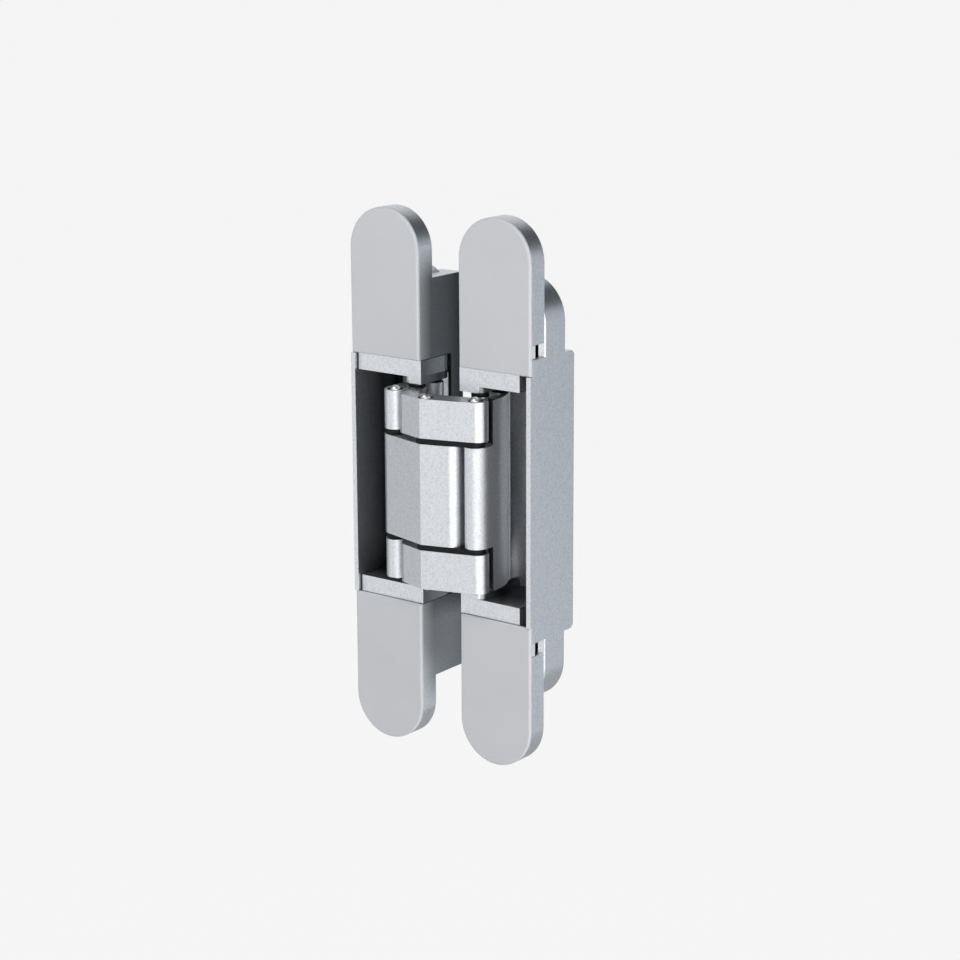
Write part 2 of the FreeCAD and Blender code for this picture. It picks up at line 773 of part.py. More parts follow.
def ring(name, x, y, bore, rim, low, high):
    """A flat washer, as a cylinder with its bore cut out."""
    disc = doc.addObject("Part::Cylinder", name + "_disc")
    hole = doc.addObject("Part::Cylinder", name + "_hole")
    for shape, radius in ((disc, rim), (hole, bore)):
        shape.setExpression("Radius", radius.text)
        shape.setExpression("Height", (high - low).text)
        shape.setExpression("Placement.Base.x", x.text)
        shape.setExpression("Placement.Base.y", y.text)
        shape.setExpression("Placement.Base.z", low.text)
    cut = doc.addObject("Part::Cut", name)
    cut.Base = disc
    cut.Tool = hole
    return cut


def ring_group(name, places, bore, rim, low, high):
    """Equal washers, above and below the middle, at each of the places."""
    rings = []
    for number, (x, y) in enumerate(places):
        rings.append(ring("%s_%d_up" % (name, number), x, y, bore, rim, low, high))
        rings.append(ring("%s_%d_down" % (name, number), x, y, bore, rim, -high, -low))
    group = doc.addObject("Part::Compound", name)
    group.Links = rings
    group.Label = name
    PARTS.append(group)
    return group


def lie_along_y(shape, x, y, z):
    """Turns a Part primitive so that its axis points into the leaf, and places it."""
    shape.Placement.Rotation = FreeCAD.Rotation(V(1, 0, 0), -90)
    shape.setExpression("Placement.Base.x", x.text)
    shape.setExpression("Placement.Base.y", y.text)
    shape.setExpression("Placement.Base.z", z.text)


def clamp_screws(name, sign):
    """The socket screws, one in each tongue, that clamp the blocks to the casing."""
    centre = leaf_centre(sign)
    seat = S.tongue_front - S.end_play
    top = seat - S.clamp_head_depth
    screws = []
    for word, up in (("up", 1), ("down", -1)):
        height = up * CLAMP_HEIGHT
        head = doc.addObject("Part::Cylinder", "%s_head_%s" % (name, word))
        head.setExpression("Radius", S.clamp_head.text)
        head.setExpression("Height", S.clamp_head_depth.text)
        lie_along_y(head, centre, deep(top), height)
        shank = doc.addObject("Part::Cylinder", "%s_shank_%s" % (name, word))
        shank.setExpression("Radius", S.clamp_radius.text)
        shank.setExpression("Height", (S.clamp_length - S.end_play).text)
        lie_along_y(shank, centre, deep(top + S.end_play), height)
        socket = doc.addObject("Part::Prism", "%s_socket_%s" % (name, word))
        socket.Polygon = 6
        socket.setExpression("Circumradius", S.clamp_socket.text)
        socket.setExpression("Height", (S.clamp_socket_depth + S.end_play).text)
        lie_along_y(socket, centre, deep(top - S.end_play), height)
        blank = doc.addObject("Part::MultiFuse", "%s_blank_%s" % (name, word))
        blank.Shapes = [head, shank]
        screw = doc.addObject("Part::Cut", "%s_%s" % (name, word))
        screw.Base = blank
        screw.Tool = socket
        screws.append(screw)
    group = doc.addObject("Part::Compound", name)
    group.Links = screws
    group.Label = name
    PARTS.append(group)
    return group


# The assembly

for side, sign in (("left", LEFT), ("right", RIGHT)):
    casing(side + "_casing", sign)
    for place_word, up in (("upper", 1), ("lower", -1)):
        cap("%s_%s_cap" % (side, place_word), sign, up)
        block("%s_%s_block" % (side, place_word), sign, up)
    clamp_screws(side + "_clamp_screws", sign)

outer_arm()
inner_arm()
left_link()
right_link()

KNUCKLES = {sign: pivot(sign, S.knuckle_in, S.knuckle_deep) for sign in (LEFT, RIGHT)}
ARM_PIVOTS = {sign: pivot(sign, S.arm_pivot_in, S.arm_pivot_deep) for sign in (LEFT, RIGHT)}
LINK_PIVOTS = {sign: pivot(sign, S.link_pivot_in, S.link_pivot_deep) for sign in (LEFT, RIGHT)}
riveted_pin("crossing_pin", CROSS_X, CROSS_Y)
for side, sign in (("left", LEFT), ("right", RIGHT)):
    riveted_pin(side + "_knuckle_pin", *KNUCKLES[sign])
    pivot_pin(side + "_arm_pin", *ARM_PIVOTS[sign])
    pivot_pin(side + "_link_pin", *LINK_PIVOTS[sign])
washer_bore = S.pin_radius + S.press_fit
washer_low = S.middle_half + S.end_play
washer_high = washer_low + S.washer_thickness
ring_group("outer_arm_washers", [(CROSS_X, CROSS_Y), KNUCKLES[RIGHT]], washer_bore,
           S.washer_radius, washer_low, washer_high)
ring_group("inner_arm_washers", [KNUCKLES[LEFT]], washer_bore, S.washer_radius, washer_low, washer_high)

# Rebuild, check every object, then write one file for each piece

doc.recompute()
for item in doc.Objects:
    if "Invalid" in item.State or "Error" in item.State:
        raise RuntimeError("%s failed: %s" % (item.Name, item.State))
os.makedirs("parts", exist_ok=True)
for piece in PARTS:
    shape = piece.Shape
    if shape.isNull() or not shape.isValid():
        raise RuntimeError(piece.Label + " has a bad shape")
    if not shape.Solids:
        raise RuntimeError(piece.Label + " has no solid")
for piece in PARTS:
    piece.Shape.exportStep("parts/%s.step" % piece.Label)
    print("%-22s solids %d volume %9.1f" % (piece.Label, len(piece.Shape.Solids), piece.Shape.Volume))
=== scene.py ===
import math
import bmesh
import bpy
from mathutils import Matrix, Vector


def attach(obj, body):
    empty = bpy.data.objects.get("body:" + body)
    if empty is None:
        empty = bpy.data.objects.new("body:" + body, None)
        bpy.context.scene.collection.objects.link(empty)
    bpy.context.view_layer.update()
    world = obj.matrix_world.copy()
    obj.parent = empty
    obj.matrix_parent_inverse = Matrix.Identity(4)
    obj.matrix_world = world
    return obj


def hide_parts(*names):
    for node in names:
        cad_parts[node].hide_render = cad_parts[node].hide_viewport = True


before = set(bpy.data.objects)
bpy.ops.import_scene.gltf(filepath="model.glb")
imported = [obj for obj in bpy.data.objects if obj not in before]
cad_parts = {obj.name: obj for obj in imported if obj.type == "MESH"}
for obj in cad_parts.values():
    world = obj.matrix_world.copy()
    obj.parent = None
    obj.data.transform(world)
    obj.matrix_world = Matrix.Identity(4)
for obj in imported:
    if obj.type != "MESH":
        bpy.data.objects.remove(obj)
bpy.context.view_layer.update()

# Sizes in millimetres. They are the solids' own, apart from details of the surface such as the
# casings' proud sides, the clips' slots and the arms' corners. A pair for a pivot says how far it
# lies inward from its leaf's inner side, and how deep behind the front face of the caps.
MM = 0.001
PLATE_DEPTH = 6.75
HALF_WIDTH = 12.0
LEAF_HALF = 77.5
GAP = 14.2
MIDDLE = HALF_WIDTH + GAP / 2
CAP_THICKNESS = 1.1
CAP_END = 35.3
MID_HALF = 60.65
MID_DEPTH = 16.1
DEEP_HALF = 39.85
DEEP_DEPTH = 20.5
FLANGE_HALF = 58.0
FLANGE_WIDTH = 7.5
REAR_BEVEL = 1.0
RIM_WALL = 1.15
POCKET_HALF = 38.8
POCKET_DEPTH = 19.3
INNER_WALL = 1.15
WINDOW_HALF = 35.4
WINDOW_DEPTH = 15.1
END_SCREW = 70.2
NEAR_SCREW = 55.8
SCREW_BORE = 2.75
SCREW_SEAT = 4.75
SINK_OVER = 0.5
CLIP_LOW = 39.95
CLIP_HIGH = 43.75
CLIP_CUT = 3.4
CLIP_WELL = 9.0
CLIP_BACK = 5.8
CLIP_RAMP = 1.3
CLIP_FOOT = 0.03
CLIP_LIP = 0.07
TAB_BACK = 2.7
TAB_CLEAR = 0.1
SIDE_PROUD = 0.3
LATCH_HEIGHT = 63.4
LATCH_HALF = 1.6
LATCH_DEEP = 3.4
PEG_DEEP = 3.0
PEG_CLEAR = 0.05
CLAMP_HEIGHT = 44.6
CLAMP_RADIUS = 2.4
CLAMP_CLEAR = 0.275
TONGUE_GAP = 0.4
TONGUE_HALF = 5.3
TONGUE_END = 50.0
TONGUE_FRONT = 7.0
TONGUE_BACK = 11.6
BLOCK_FRONT = 1.2
BLOCK_BACK = 19.1
BLOCK_UNDER = 30.4
BLOCK_STEP = 35.2
BLOCK_TOP = 38.5
BOSS_UNDER = 28.5
SIDE_TRAVEL = 1.6
BOSS_WIDTH = 6.8
BOSS_ROUND = 2.6
BLOCK_PROUD = 0.6
LEFT_BLOCK_FAR = 22.45
RIGHT_BLOCK_FAR = 19.75
LEFT_STEP_NEAR = 1.4
RIGHT_STEP_NEAR = 3.0
LEFT_ROUND_AHEAD = 0.9
RIGHT_ROUND_AHEAD = 1.8
PIN_BORE = 1.31
BORE_TOP = 36.05
LINK_SLOT_HALF = 1.85
LINK_SLOT_TRAVEL = 2.6
ARM_HALF = 27.1
BARREL_HALF = 28.45
LOBE_UNDER = 16.0
MIDDLE_HALF = 14.35
ARM_PIVOT = (4.0, 4.5)
LINK_PIVOT = (4.6, 12.6)
KNUCKLE = (6.9, -1.594)
CROSS_DEEP = -5.75
ARM_BARREL = 2.5
ARM_END = 3.15
END_SHIFT = 0.35
RIDGE_DEEP = -8.57
ARM_SIDE = 10.05
ARM_CORNER = 3.0
ARM_WAIST = (5.0, -2.8)
LINK_BARREL = 3.0
LINK_KNUCKLE = 3.1
LINK_TURN = 60
LINK_OUT = 10.4
LINK_OUT_DEEP = 3.0
LINK_INSIDE = 7.6
LINK_NECK_FRONT = 2.0
LINK_NECK_BACK = 8.9
LINK_CLEAR = 4.8
PIN_RADIUS = 1.6
PIVOT_BORE = 1.35
DOME_RISE = 1.5
DOME_SEAT = 2.2
DOME_SEAT_DEPTH = 0.4
ARM_RIVET_BORE = PIN_RADIUS + 0.02
LINK_RIVET_BORE = PIN_RADIUS + 0.05
RING_BORE = PIN_RADIUS + 0.01
WASHER_RIM = 2.8
WASHER_PLAY = 0.05
PLATE_RIM = 2.75
SEAT_SHADE_RING_PLAY = 0.02

# Rounded edges, the overlap of joined solids and how far a cutting solid runs past a face
CASING_EDGE = 0.22
CAP_ROUND = 0.6
CAP_EDGE = 0.08
BLOCK_EDGE = 0.25
ARM_EDGE = 0.22
LEFT_LINK_EDGE = 0.2
RIGHT_LINK_EDGE = 0.34
PLATE_EDGE = 0.15
RING_EDGE = 0.12
LAP = 0.05
CAP_LAP = 0.3
OVER = 1


def deep(depth):
    """The y of a place that lies this deep behind the front face of the caps."""
    return depth - PLATE_DEPTH


# Where the three rivets stand, in x and y
CROSS = (MIDDLE, deep(CROSS_DEEP))
LEFT_KNUCKLE = (HALF_WIDTH - KNUCKLE[0], deep(KNUCKLE[1]))
RIGHT_KNUCKLE = (2 * MIDDLE - LEFT_KNUCKLE[0], LEFT_KNUCKLE[1])


# Outlines

def arc(cx, cy, radius, start, end, steps=16):
    """Points along an arc, from one angle to another in degrees."""
    result = []
    for i in range(steps + 1):
        angle = math.radians(start + (end - start) * i / steps)
        result.append((cx + radius * math.cos(angle), cy + radius * math.sin(angle)))
    return result


def angle_to(centre, point):
    return math.degrees(math.atan2(point[1] - centre[1], point[0] - centre[0]))


def arc_between(centre, radius, first, last, turn, steps=16):
    """An arc round a centre from one point to another; turn 1 is anticlockwise."""
    start = angle_to(centre, first)
    end = angle_to(centre, last)
    while turn > 0 and end < start:
        end += 360
    while turn < 0 and end > start:
        end -= 360
    return arc(centre[0], centre[1], radius, start, end, steps)


def tangent_point(point, centre, radius, side):
    """Where the tangent from a point touches a circle."""
    dx = point[0] - centre[0]
    dy = point[1] - centre[1]
    square = dx * dx + dy * dy
    along = radius * radius / square
    across = radius * math.sqrt(square - radius * radius) / square * side
    return centre[0] + along * dx + across * dy, centre[1] + along * dy - across * dx


def ring_points(centre, radius, steps=48):
    """Points round a full circle."""
    return arc(centre[0], centre[1], radius, 0, 360 - 360 / steps, steps - 1)


def capsule(half_width, half_length, steps=40):
    """An outline with straight sides and round ends, standing on end."""
    straight = half_length - half_width
    return arc(0, straight, half_width, 0, 180, steps) + arc(0, -straight, half_width, 180, 360, steps)


def box_points(x0, y0, x1, y1):
    """The corners of a rectangle, anticlockwise."""
    return [(x0, y0), (x1, y0), (x1, y1), (x0, y1)]


def mirrored(points, middle):
    """Points mirrored across x about a middle."""
    return [(2 * middle - x, y) for x, y in points]


# Solids

def new_object(name, mesh):
    piece = bpy.data.objects.new(name, mesh)
    bpy.context.scene.collection.objects.link(piece)
    return piece


def extruded(name, points, low, high, axis):
    """A prism of an outline, from low to high along an axis."""
    shape = bmesh.new()
    rows = []
    for level in (low, high):
        row = []
        for a, b in points:
            place = {"X": (level, b, a), "Y": (a, level, b), "Z": (a, b, level)}[axis]
            row.append(shape.verts.new(Vector(place) * MM))
        rows.append(row)
    shape.faces.new(rows[0])
    shape.faces.new(list(reversed(rows[1])))
    for i in range(len(points)):
        j = (i + 1) % len(points)
        shape.faces.new((rows[0][i], rows[1][i], rows[1][j], rows[0][j]))
    bmesh.ops.remove_doubles(shape, verts=shape.verts, dist=1e-7)
    bmesh.ops.recalc_face_normals(shape, faces=shape.faces)
    mesh = bpy.data.meshes.new(name)
    shape.to_mesh(mesh)
    shape.free()
    return new_object(name, mesh)


def upright(name, points, low, high):
    """A prism that rises along Z, with its outline given as (x, y)."""
    return extruded(name, points, low, high, "Z")


def through(name, points, low, high):
    """A prism that runs back along +Y, with its outline given as (x, z)."""
    return extruded(name, points, low, high, "Y")


def sideways(name, points, low, high):
    """A prism that runs along X, with its outline given as (z, y)."""
    return extruded(name, points, low, high, "X")


def coned(name, x, z, wide, narrow, front, back, steps=48):
    """A cone frustum along +Y, for a countersink."""
    shape = bmesh.new()
    bmesh.ops.create_cone(shape, cap_ends=True, segments=steps, radius1=wide * MM, radius2=narrow * MM,
                          depth=(back - front) * MM)
    turn = Matrix.Rotation(math.radians(-90), 4, "X")
    middle = Matrix.Translation(Vector((x, (front + back) / 2, z)) * MM)
    bmesh.ops.transform(shape, matrix=middle @ turn, verts=shape.verts)
    bmesh.ops.recalc_face_normals(shape, faces=shape.faces)
    mesh = bpy.data.meshes.new(name)
    shape.to_mesh(mesh)
    shape.free()
    return new_object(name, mesh)


def settle(piece):
    """Turns a piece with live modifiers into a plain mesh."""
    graph = bpy.context.evaluated_depsgraph_get()
    mesh = bpy.data.meshes.new_from_object(piece.evaluated_get(graph))
    piece.modifiers.clear()
    old = piece.data
    piece.data = mesh
    bpy.data.meshes.remove(old)
    return piece


def combine(piece, others, operation):
    """Joins other solids to a piece, or cuts them out of it, one after the other."""
    for other in others:
        join = piece.modifiers.new("join", "BOOLEAN")
        join.operation = operation
        join.solver = "EXACT"
        join.object = other
        settle(piece)
        bpy.data.objects.remove(other)
    return piece


def joined(piece, *others):
    return combine(piece, others, "UNION")


def cut(piece, *others):
    return combine(piece, others, "DIFFERENCE")


def softened(piece, width, segments=3, angle=28):
    """Rounds every sharp edge a little, as a casting's or a moulding's are."""
    merge = bmesh.new()
    merge.from_mesh(piece.data)
    bmesh.ops.remove_doubles(merge, verts=merge.verts, dist=2e-6)
    bmesh.ops.dissolve_degenerate(merge, edges=merge.edges, dist=2e-6)
    merge.to_mesh(piece.data)
    merge.free()
    edge = piece.modifiers.new("edge", "BEVEL")
    edge.width = width * MM
    edge.segments = segments
    edge.limit_method = "ANGLE"
    edge.angle_limit = math.radians(angle)
    edge.use_clamp_overlap = True
    edge.miter_outer = "MITER_ARC"
    settle(piece)
    for face in piece.data.polygons:
        face.use_smooth = True
    piece.data.set_sharp_from_angle(angle=math.radians(44))
    return levelled(piece)


def levelled(piece):
    """Keeps flat faces flat in their shading, up to the rounded edges."""
    level = piece.modifiers.new("level", "WEIGHTED_NORMAL")
    level.keep_sharp = True
    level.weight = 80
    return settle(piece)


def front_rounded(piece, radius, segments):
    """Rounds the edges round a piece's front face; one segment gives a chamfer."""
    shape = bmesh.new()
    shape.from_mesh(piece.data)
    front = min(vert.co.y for vert in shape.verts)
    edges = [edge for edge in shape.edges if all(vert.co.y < front + 1e-6 for vert in edge.verts)]
    bmesh.ops.bevel(shape, geom=edges, offset=radius * MM, segments=segments, profile=0.5, affect="EDGES",
                    clamp_overlap=True)
    shape.to_mesh(piece.data)
    shape.free()
    return piece


def reflected(piece, name, across, middle=0.0):
    """A mirrored copy of a piece, across X about a middle plane or across Z about the middle height."""
    mesh = piece.data.copy()
    if "custom_normal" in mesh.attributes:
        mesh.attributes.remove(mesh.attributes["custom_normal"])
    axis = Vector((1, 0, 0)) if across == "X" else Vector((0, 0, 1))
    flip = Matrix.Scale(-1, 4, axis)
    move = Matrix.Translation(axis * 2 * middle * MM)
    mesh.transform(move @ flip)
    mesh.flip_normals()
    return levelled(new_object(name, mesh))


# Casings

def left_casing():
    """The plate, the stepped box behind it with the pocket and its window, and both screw ends."""
    side = HALF_WIDTH
    outer = -HALF_WIDTH - SIDE_PROUD
    back = deep(DEEP_DEPTH)
    body = through("left_casing_body", capsule(HALF_WIDTH, LEAF_HALF), deep(CAP_THICKNESS), deep(PLATE_DEPTH))
    half = (side - outer) / 2
    mid_plan = [(x + side - half, z) for x, z in capsule(half, MID_HALF)]
    mid = through("mid", mid_plan, deep(PLATE_DEPTH - LAP), deep(MID_DEPTH))
    joined(body, front_rounded(mid, SIDE_PROUD + LAP, 1))
    profile = [(-DEEP_HALF, deep(CAP_THICKNESS)), (DEEP_HALF, deep(CAP_THICKNESS)),
               (DEEP_HALF, back - REAR_BEVEL), (DEEP_HALF - REAR_BEVEL, back),
               (REAR_BEVEL - DEEP_HALF, back), (-DEEP_HALF, back - REAR_BEVEL)]
    joined(body, sideways("deep", profile, outer, side))
    flange = box_points(side - FLANGE_WIDTH, -FLANGE_HALF, side, FLANGE_HALF)
    joined(body, through("flange", flange, deep(CAP_THICKNESS), back))
    rim = CAP_END - LAP
    joined(body, through("rim", box_points(outer, -rim, side, rim), deep(0), deep(CAP_THICKNESS + OVER)))
    hollow = box_points(RIM_WALL - side, -POCKET_HALF, side - INNER_WALL, POCKET_HALF)
    cut(body, through("hollow", hollow, deep(-OVER), deep(POCKET_DEPTH)))
    window = box_points(side - 2 * INNER_WALL, -WINDOW_HALF, side + OVER, WINDOW_HALF)
    cut(body, through("window", window, deep(-OVER), deep(WINDOW_DEPTH)))
    for up in (1, -1):
        cut_screw_end(body, outer, up)
    return softened(body, CASING_EDGE)


def cut_screw_end(body, outer, up):
    """Cuts what lies beyond the pocket at one end; up is 1 for the upper end and -1 for the lower."""
    reach = TONGUE_HALF + SIDE_TRAVEL + TONGUE_GAP
    low, high = sorted((up * (POCKET_HALF - OVER), up * (TONGUE_END + TONGUE_GAP)))
    bay = box_points(-reach, low, reach, high)
    cut(body, through("bay", bay, deep(-OVER), deep(TONGUE_BACK + LAP)))
    low, high = sorted((up * CLIP_LOW, up * CLIP_HIGH))
    foot = CLIP_CUT - HALF_WIDTH
    ramp_foot = CLIP_RAMP - HALF_WIDTH
    end = deep(PLATE_DEPTH - CLIP_LIP)
    notch = [(outer - OVER, deep(-OVER)), (foot, deep(-OVER)), (foot, deep(CLIP_WELL)),
             (ramp_foot, deep(CLIP_WELL)), (ramp_foot, deep(CLIP_BACK)), (CLIP_FOOT - HALF_WIDTH, end),
             (outer - OVER, end)]
    cut(body, upright("notch", notch, low, high))
    bores = ((END_SCREW, SCREW_BORE), (NEAR_SCREW, SCREW_BORE), (CLAMP_HEIGHT, CLAMP_RADIUS))
    for height, radius in bores:
        bore = ring_points((0, up * height), radius)
        cut(body, through("bore", bore, deep(-OVER), deep(DEEP_DEPTH + SINK_OVER)))
    low, high = sorted((up * (LATCH_HEIGHT - LATCH_HALF), up * (LATCH_HEIGHT + LATCH_HALF)))
    latch = box_points(-LATCH_HALF, low, LATCH_HALF, high)
    cut(body, through("latch", latch, deep(-OVER), deep(CAP_THICKNESS + LATCH_DEEP)))
    sink = SCREW_SEAT - SCREW_BORE
    for height in (END_SCREW, NEAR_SCREW):
        cut(body, coned("sink", 0, up * height, SCREW_SEAT + SINK_OVER, SCREW_BORE,
                        deep(CAP_THICKNESS - SINK_OVER), deep(CAP_THICKNESS + sink)))


# Caps

def left_upper_cap():
    """A cap with its clip's tab and its square peg."""
    straight = LEAF_HALF - HALF_WIDTH
    shape = [(-HALF_WIDTH, CAP_END), (HALF_WIDTH, CAP_END)] + arc(0, straight, HALF_WIDTH, 0, 180, 48)
    body = through("left_upper_cap_body", shape, deep(0), deep(CAP_THICKNESS))
    softened(front_rounded(body, CAP_ROUND, 5), CAP_EDGE, 2)
    side = CLIP_CUT - TAB_CLEAR - HALF_WIDTH
    tab_plan = box_points(TAB_CLEAR - HALF_WIDTH, CLIP_LOW + TAB_CLEAR, side, CLIP_HIGH - TAB_CLEAR)
    tab = through("tab", tab_plan, deep(CAP_THICKNESS - CAP_LAP), deep(TAB_BACK))
    half = LATCH_HALF - PEG_CLEAR
    peg_plan = box_points(-half, LATCH_HEIGHT - half, half, LATCH_HEIGHT + half)
    peg = through("latch", peg_plan, deep(CAP_THICKNESS - CAP_LAP), deep(CAP_THICKNESS + PEG_DEEP))
    return joined(body, tab, peg)


# Blocks

def upper_block(name, left):
    """A carriage block on the left leaf; the right leaf's is built here too and then mirrored."""
    side = HALF_WIDTH
    far = side - (LEFT_BLOCK_FAR if left else RIGHT_BLOCK_FAR)
    near = side - (LEFT_STEP_NEAR if left else RIGHT_STEP_NEAR)
    proud = 0.0 if left else BLOCK_PROUD
    link_x = side - LINK_PIVOT[0]
    round_y = deep(LINK_PIVOT[1] - (LEFT_ROUND_AHEAD if left else RIGHT_ROUND_AHEAD))
    front = deep(BLOCK_FRONT)
    back = deep(BLOCK_BACK)
    corner = arc(link_x, round_y - proud, LINK_PIVOT[0] + proud, 0, 90, 16)
    inner_side = [(side + proud, front)] + corner + [(link_x, back)]
    body = upright(name, [(far, front)] + inner_side + [(far, back)], BLOCK_UNDER, BLOCK_STEP)
    step = [(far, front + CAP_THICKNESS), (near, front + CAP_THICKNESS), (near, round_y), (link_x, back),
            (far, back)]
    joined(body, upright("step", step, BLOCK_STEP - OVER, BLOCK_TOP))
    boss_far = side - BOSS_WIDTH
    boss = arc(boss_far + BOSS_ROUND, front + BOSS_ROUND, BOSS_ROUND, 180, 270, 16)
    boss += inner_side + [(boss_far, back)]
    joined(body, upright("boss", boss, BOSS_UNDER, BLOCK_UNDER + OVER))
    tongue = box_points(-TONGUE_HALF, BLOCK_TOP - OVER, TONGUE_HALF, TONGUE_END)
    joined(body, through("tongue", tongue, deep(TONGUE_FRONT), deep(TONGUE_BACK)))
    reach = 0.0 if left else SIDE_TRAVEL
    width = CLAMP_RADIUS + CLAMP_CLEAR
    slot = arc(reach, CLAMP_HEIGHT, width, -90, 90, 24) + arc(-reach, CLAMP_HEIGHT, width, 90, 270, 24)
    cut(body, through("slot", slot, deep(TONGUE_FRONT - OVER), deep(TONGUE_BACK + OVER)))
    bore = ring_points((side - ARM_PIVOT[0], deep(ARM_PIVOT[1])), PIN_BORE)
    cut(body, upright("bore", bore, BOSS_UNDER - OVER, BORE_TOP))
    link_y = deep(LINK_PIVOT[1])
    travel = arc(link_x, link_y, LINK_SLOT_HALF, 0, 180, 24)
    travel += arc(link_x, link_y - LINK_SLOT_TRAVEL, LINK_SLOT_HALF, 180, 360, 24)
    cut(body, upright("travel", travel, BOSS_UNDER - OVER, BORE_TOP))
    return softened(body, BLOCK_EDGE)


# Arms and links, drawn with u measured from the middle plane

def arm_outline():
    """An arm's plan as (u, depth), and the places of its knuckle and its barrel."""
    knuckle = (-(GAP / 2 + KNUCKLE[0]), KNUCKLE[1])
    barrel = (GAP / 2 + ARM_PIVOT[0], ARM_PIVOT[1])
    ridge = (0.0, RIDGE_DEEP)
    end = (knuckle[0] - END_SHIFT, knuckle[1] + END_SHIFT)
    front = tangent_point(ridge, end, ARM_END, 1)
    slope = (front[1] - ridge[1]) / -front[0]
    slant = math.sqrt(slope * slope + 1)
    corner_u = ARM_SIDE - ARM_CORNER
    corner = (corner_u, RIDGE_DEEP + slope * corner_u + ARM_CORNER * slant)
    flat = (corner[0] + ARM_CORNER * slope / slant, corner[1] - ARM_CORNER / slant)
    enter = (ARM_SIDE, barrel[1] - math.sqrt(ARM_BARREL ** 2 - (ARM_SIDE - barrel[0]) ** 2))
    foot = tangent_point(ARM_WAIST, barrel, ARM_BARREL, 1)
    back = tangent_point(ARM_WAIST, end, ARM_END, -1)
    points = arc_between(end, ARM_END, back, front, 1, 28)
    points += [ridge]
    points += arc_between(corner, ARM_CORNER, flat, (ARM_SIDE, corner[1]), 1, 18)
    points += arc_between(barrel, ARM_BARREL, enter, foot, 1, 24)
    points += [ARM_WAIST]
    return points, knuckle, barrel


def arm_plan(right):
    """The arm's outline at its place; right is for the arm whose barrel sits on the right leaf."""
    points, knuckle, barrel = arm_outline()
    turn = 1 if right else -1
    place = [(MIDDLE + turn * u, deep(d)) for u, d in points]
    centre = [(MIDDLE + turn * u, deep(d)) for u, d in (knuckle, barrel)]
    return place, centre[0], centre[1]


def bored(piece, centre, radius):
    """Bores a piece along Z over the whole height of the barrels."""
    return cut(piece, upright("bore", ring_points(centre, radius), -BARREL_HALF - OVER, BARREL_HALF + OVER))


def dome_seats(piece, centre):
    """Cuts the shallow seats of a rivet's two heads."""
    ring = ring_points(centre, DOME_SEAT)
    top = upright("seat", ring, ARM_HALF - DOME_SEAT_DEPTH, ARM_HALF + 2 * OVER)
    under = upright("seat", ring, -ARM_HALF - 2 * OVER, DOME_SEAT_DEPTH - ARM_HALF)
    return cut(piece, top, under)


def outer_arm():
    plan, knuckle, barrel = arm_plan(False)
    body = upright("outer_arm_body", ring_points(barrel, ARM_BARREL), -ARM_HALF, ARM_HALF)
    joined(body, upright("plate", plan, LOBE_UNDER, ARM_HALF), upright("plate", plan, -ARM_HALF, -LOBE_UNDER))
    bored(body, barrel, PIVOT_BORE)
    for centre in (CROSS, knuckle):
        bored(body, centre, ARM_RIVET_BORE)
        dome_seats(body, centre)
    return softened(body, ARM_EDGE)


def inner_arm():
    plan, knuckle, barrel = arm_plan(True)
    body = upright("inner_arm_body", ring_points(barrel, ARM_BARREL), -ARM_HALF, ARM_HALF)
    joined(body, upright("plate", plan, -MIDDLE_HALF, MIDDLE_HALF))
    bored(body, barrel, PIVOT_BORE)
    for centre in (CROSS, knuckle):
        bored(body, centre, ARM_RIVET_BORE)
    return softened(body, ARM_EDGE)


def link_outline():
    """A link's plan on the left leaf, anticlockwise, and its two pivots.

    The front swells in an arc from the knuckle to the outside, and the outside bows back to the barrel.
    """
    knuckle = LEFT_KNUCKLE
    barrel = (HALF_WIDTH - LINK_PIVOT[0], deep(LINK_PIVOT[1]))
    outside = (HALF_WIDTH - LINK_OUT, deep(LINK_OUT_DEEP))
    drop = LINK_OUT - LINK_PIVOT[0] - LINK_BARREL
    height = LINK_PIVOT[1] - LINK_OUT_DEEP
    bow = (drop * drop + height * height) / (2 * drop)
    bow_centre = (outside[0] + bow, outside[1])
    slant = math.radians(LINK_TURN)
    swell = (LINK_OUT - KNUCKLE[0] - LINK_KNUCKLE * math.sin(slant)) / (1 - math.sin(slant))
    shift = swell - LINK_KNUCKLE
    swell_centre = (knuckle[0] + shift * math.sin(slant), knuckle[1] + shift * math.cos(slant))
    inside = HALF_WIDTH - LINK_INSIDE
    points = [knuckle] + arc(swell_centre[0], swell_centre[1], swell, 270 - LINK_TURN, 180, 10)
    points += arc_between(bow_centre, bow, outside, (barrel[0] - LINK_BARREL, barrel[1]), -1, 14)
    points += [barrel, (inside, deep(LINK_NECK_BACK)), (inside, deep(LINK_NECK_FRONT))]
    return points, knuckle, barrel


def link_body(name, knuckle_levels, clear_levels, right):
    """A bored link. The levels say where its knuckle stands and where an arm passes it."""
    points, knuckle, barrel = link_outline()
    if right:
        points = list(reversed(mirrored(points, MIDDLE)))
        knuckle, barrel = mirrored([knuckle, barrel], MIDDLE)
    body = upright(name, ring_points(barrel, LINK_BARREL, 64), -ARM_HALF, ARM_HALF)
    joined(body, upright("web", points, -ARM_HALF, ARM_HALF))
    clear = ring_points(knuckle, LINK_CLEAR, 64)
    cut(body, *[upright("clear", clear, low, high) for low, high in clear_levels])
    round_end = ring_points(knuckle, LINK_KNUCKLE, 64)
    joined(body, *[upright("knuckle", round_end, low, high) for low, high in knuckle_levels])
    bored(body, knuckle, LINK_RIVET_BORE)
    return bored(body, barrel, PIN_BORE)


def right_link():
    clear_levels = [(MIDDLE_HALF, ARM_HALF + OVER), (-ARM_HALF - OVER, -MIDDLE_HALF)]
    body = link_body("right_link_body", [(-MIDDLE_HALF, MIDDLE_HALF)], clear_levels, True)
    return softened(body, RIGHT_LINK_EDGE)


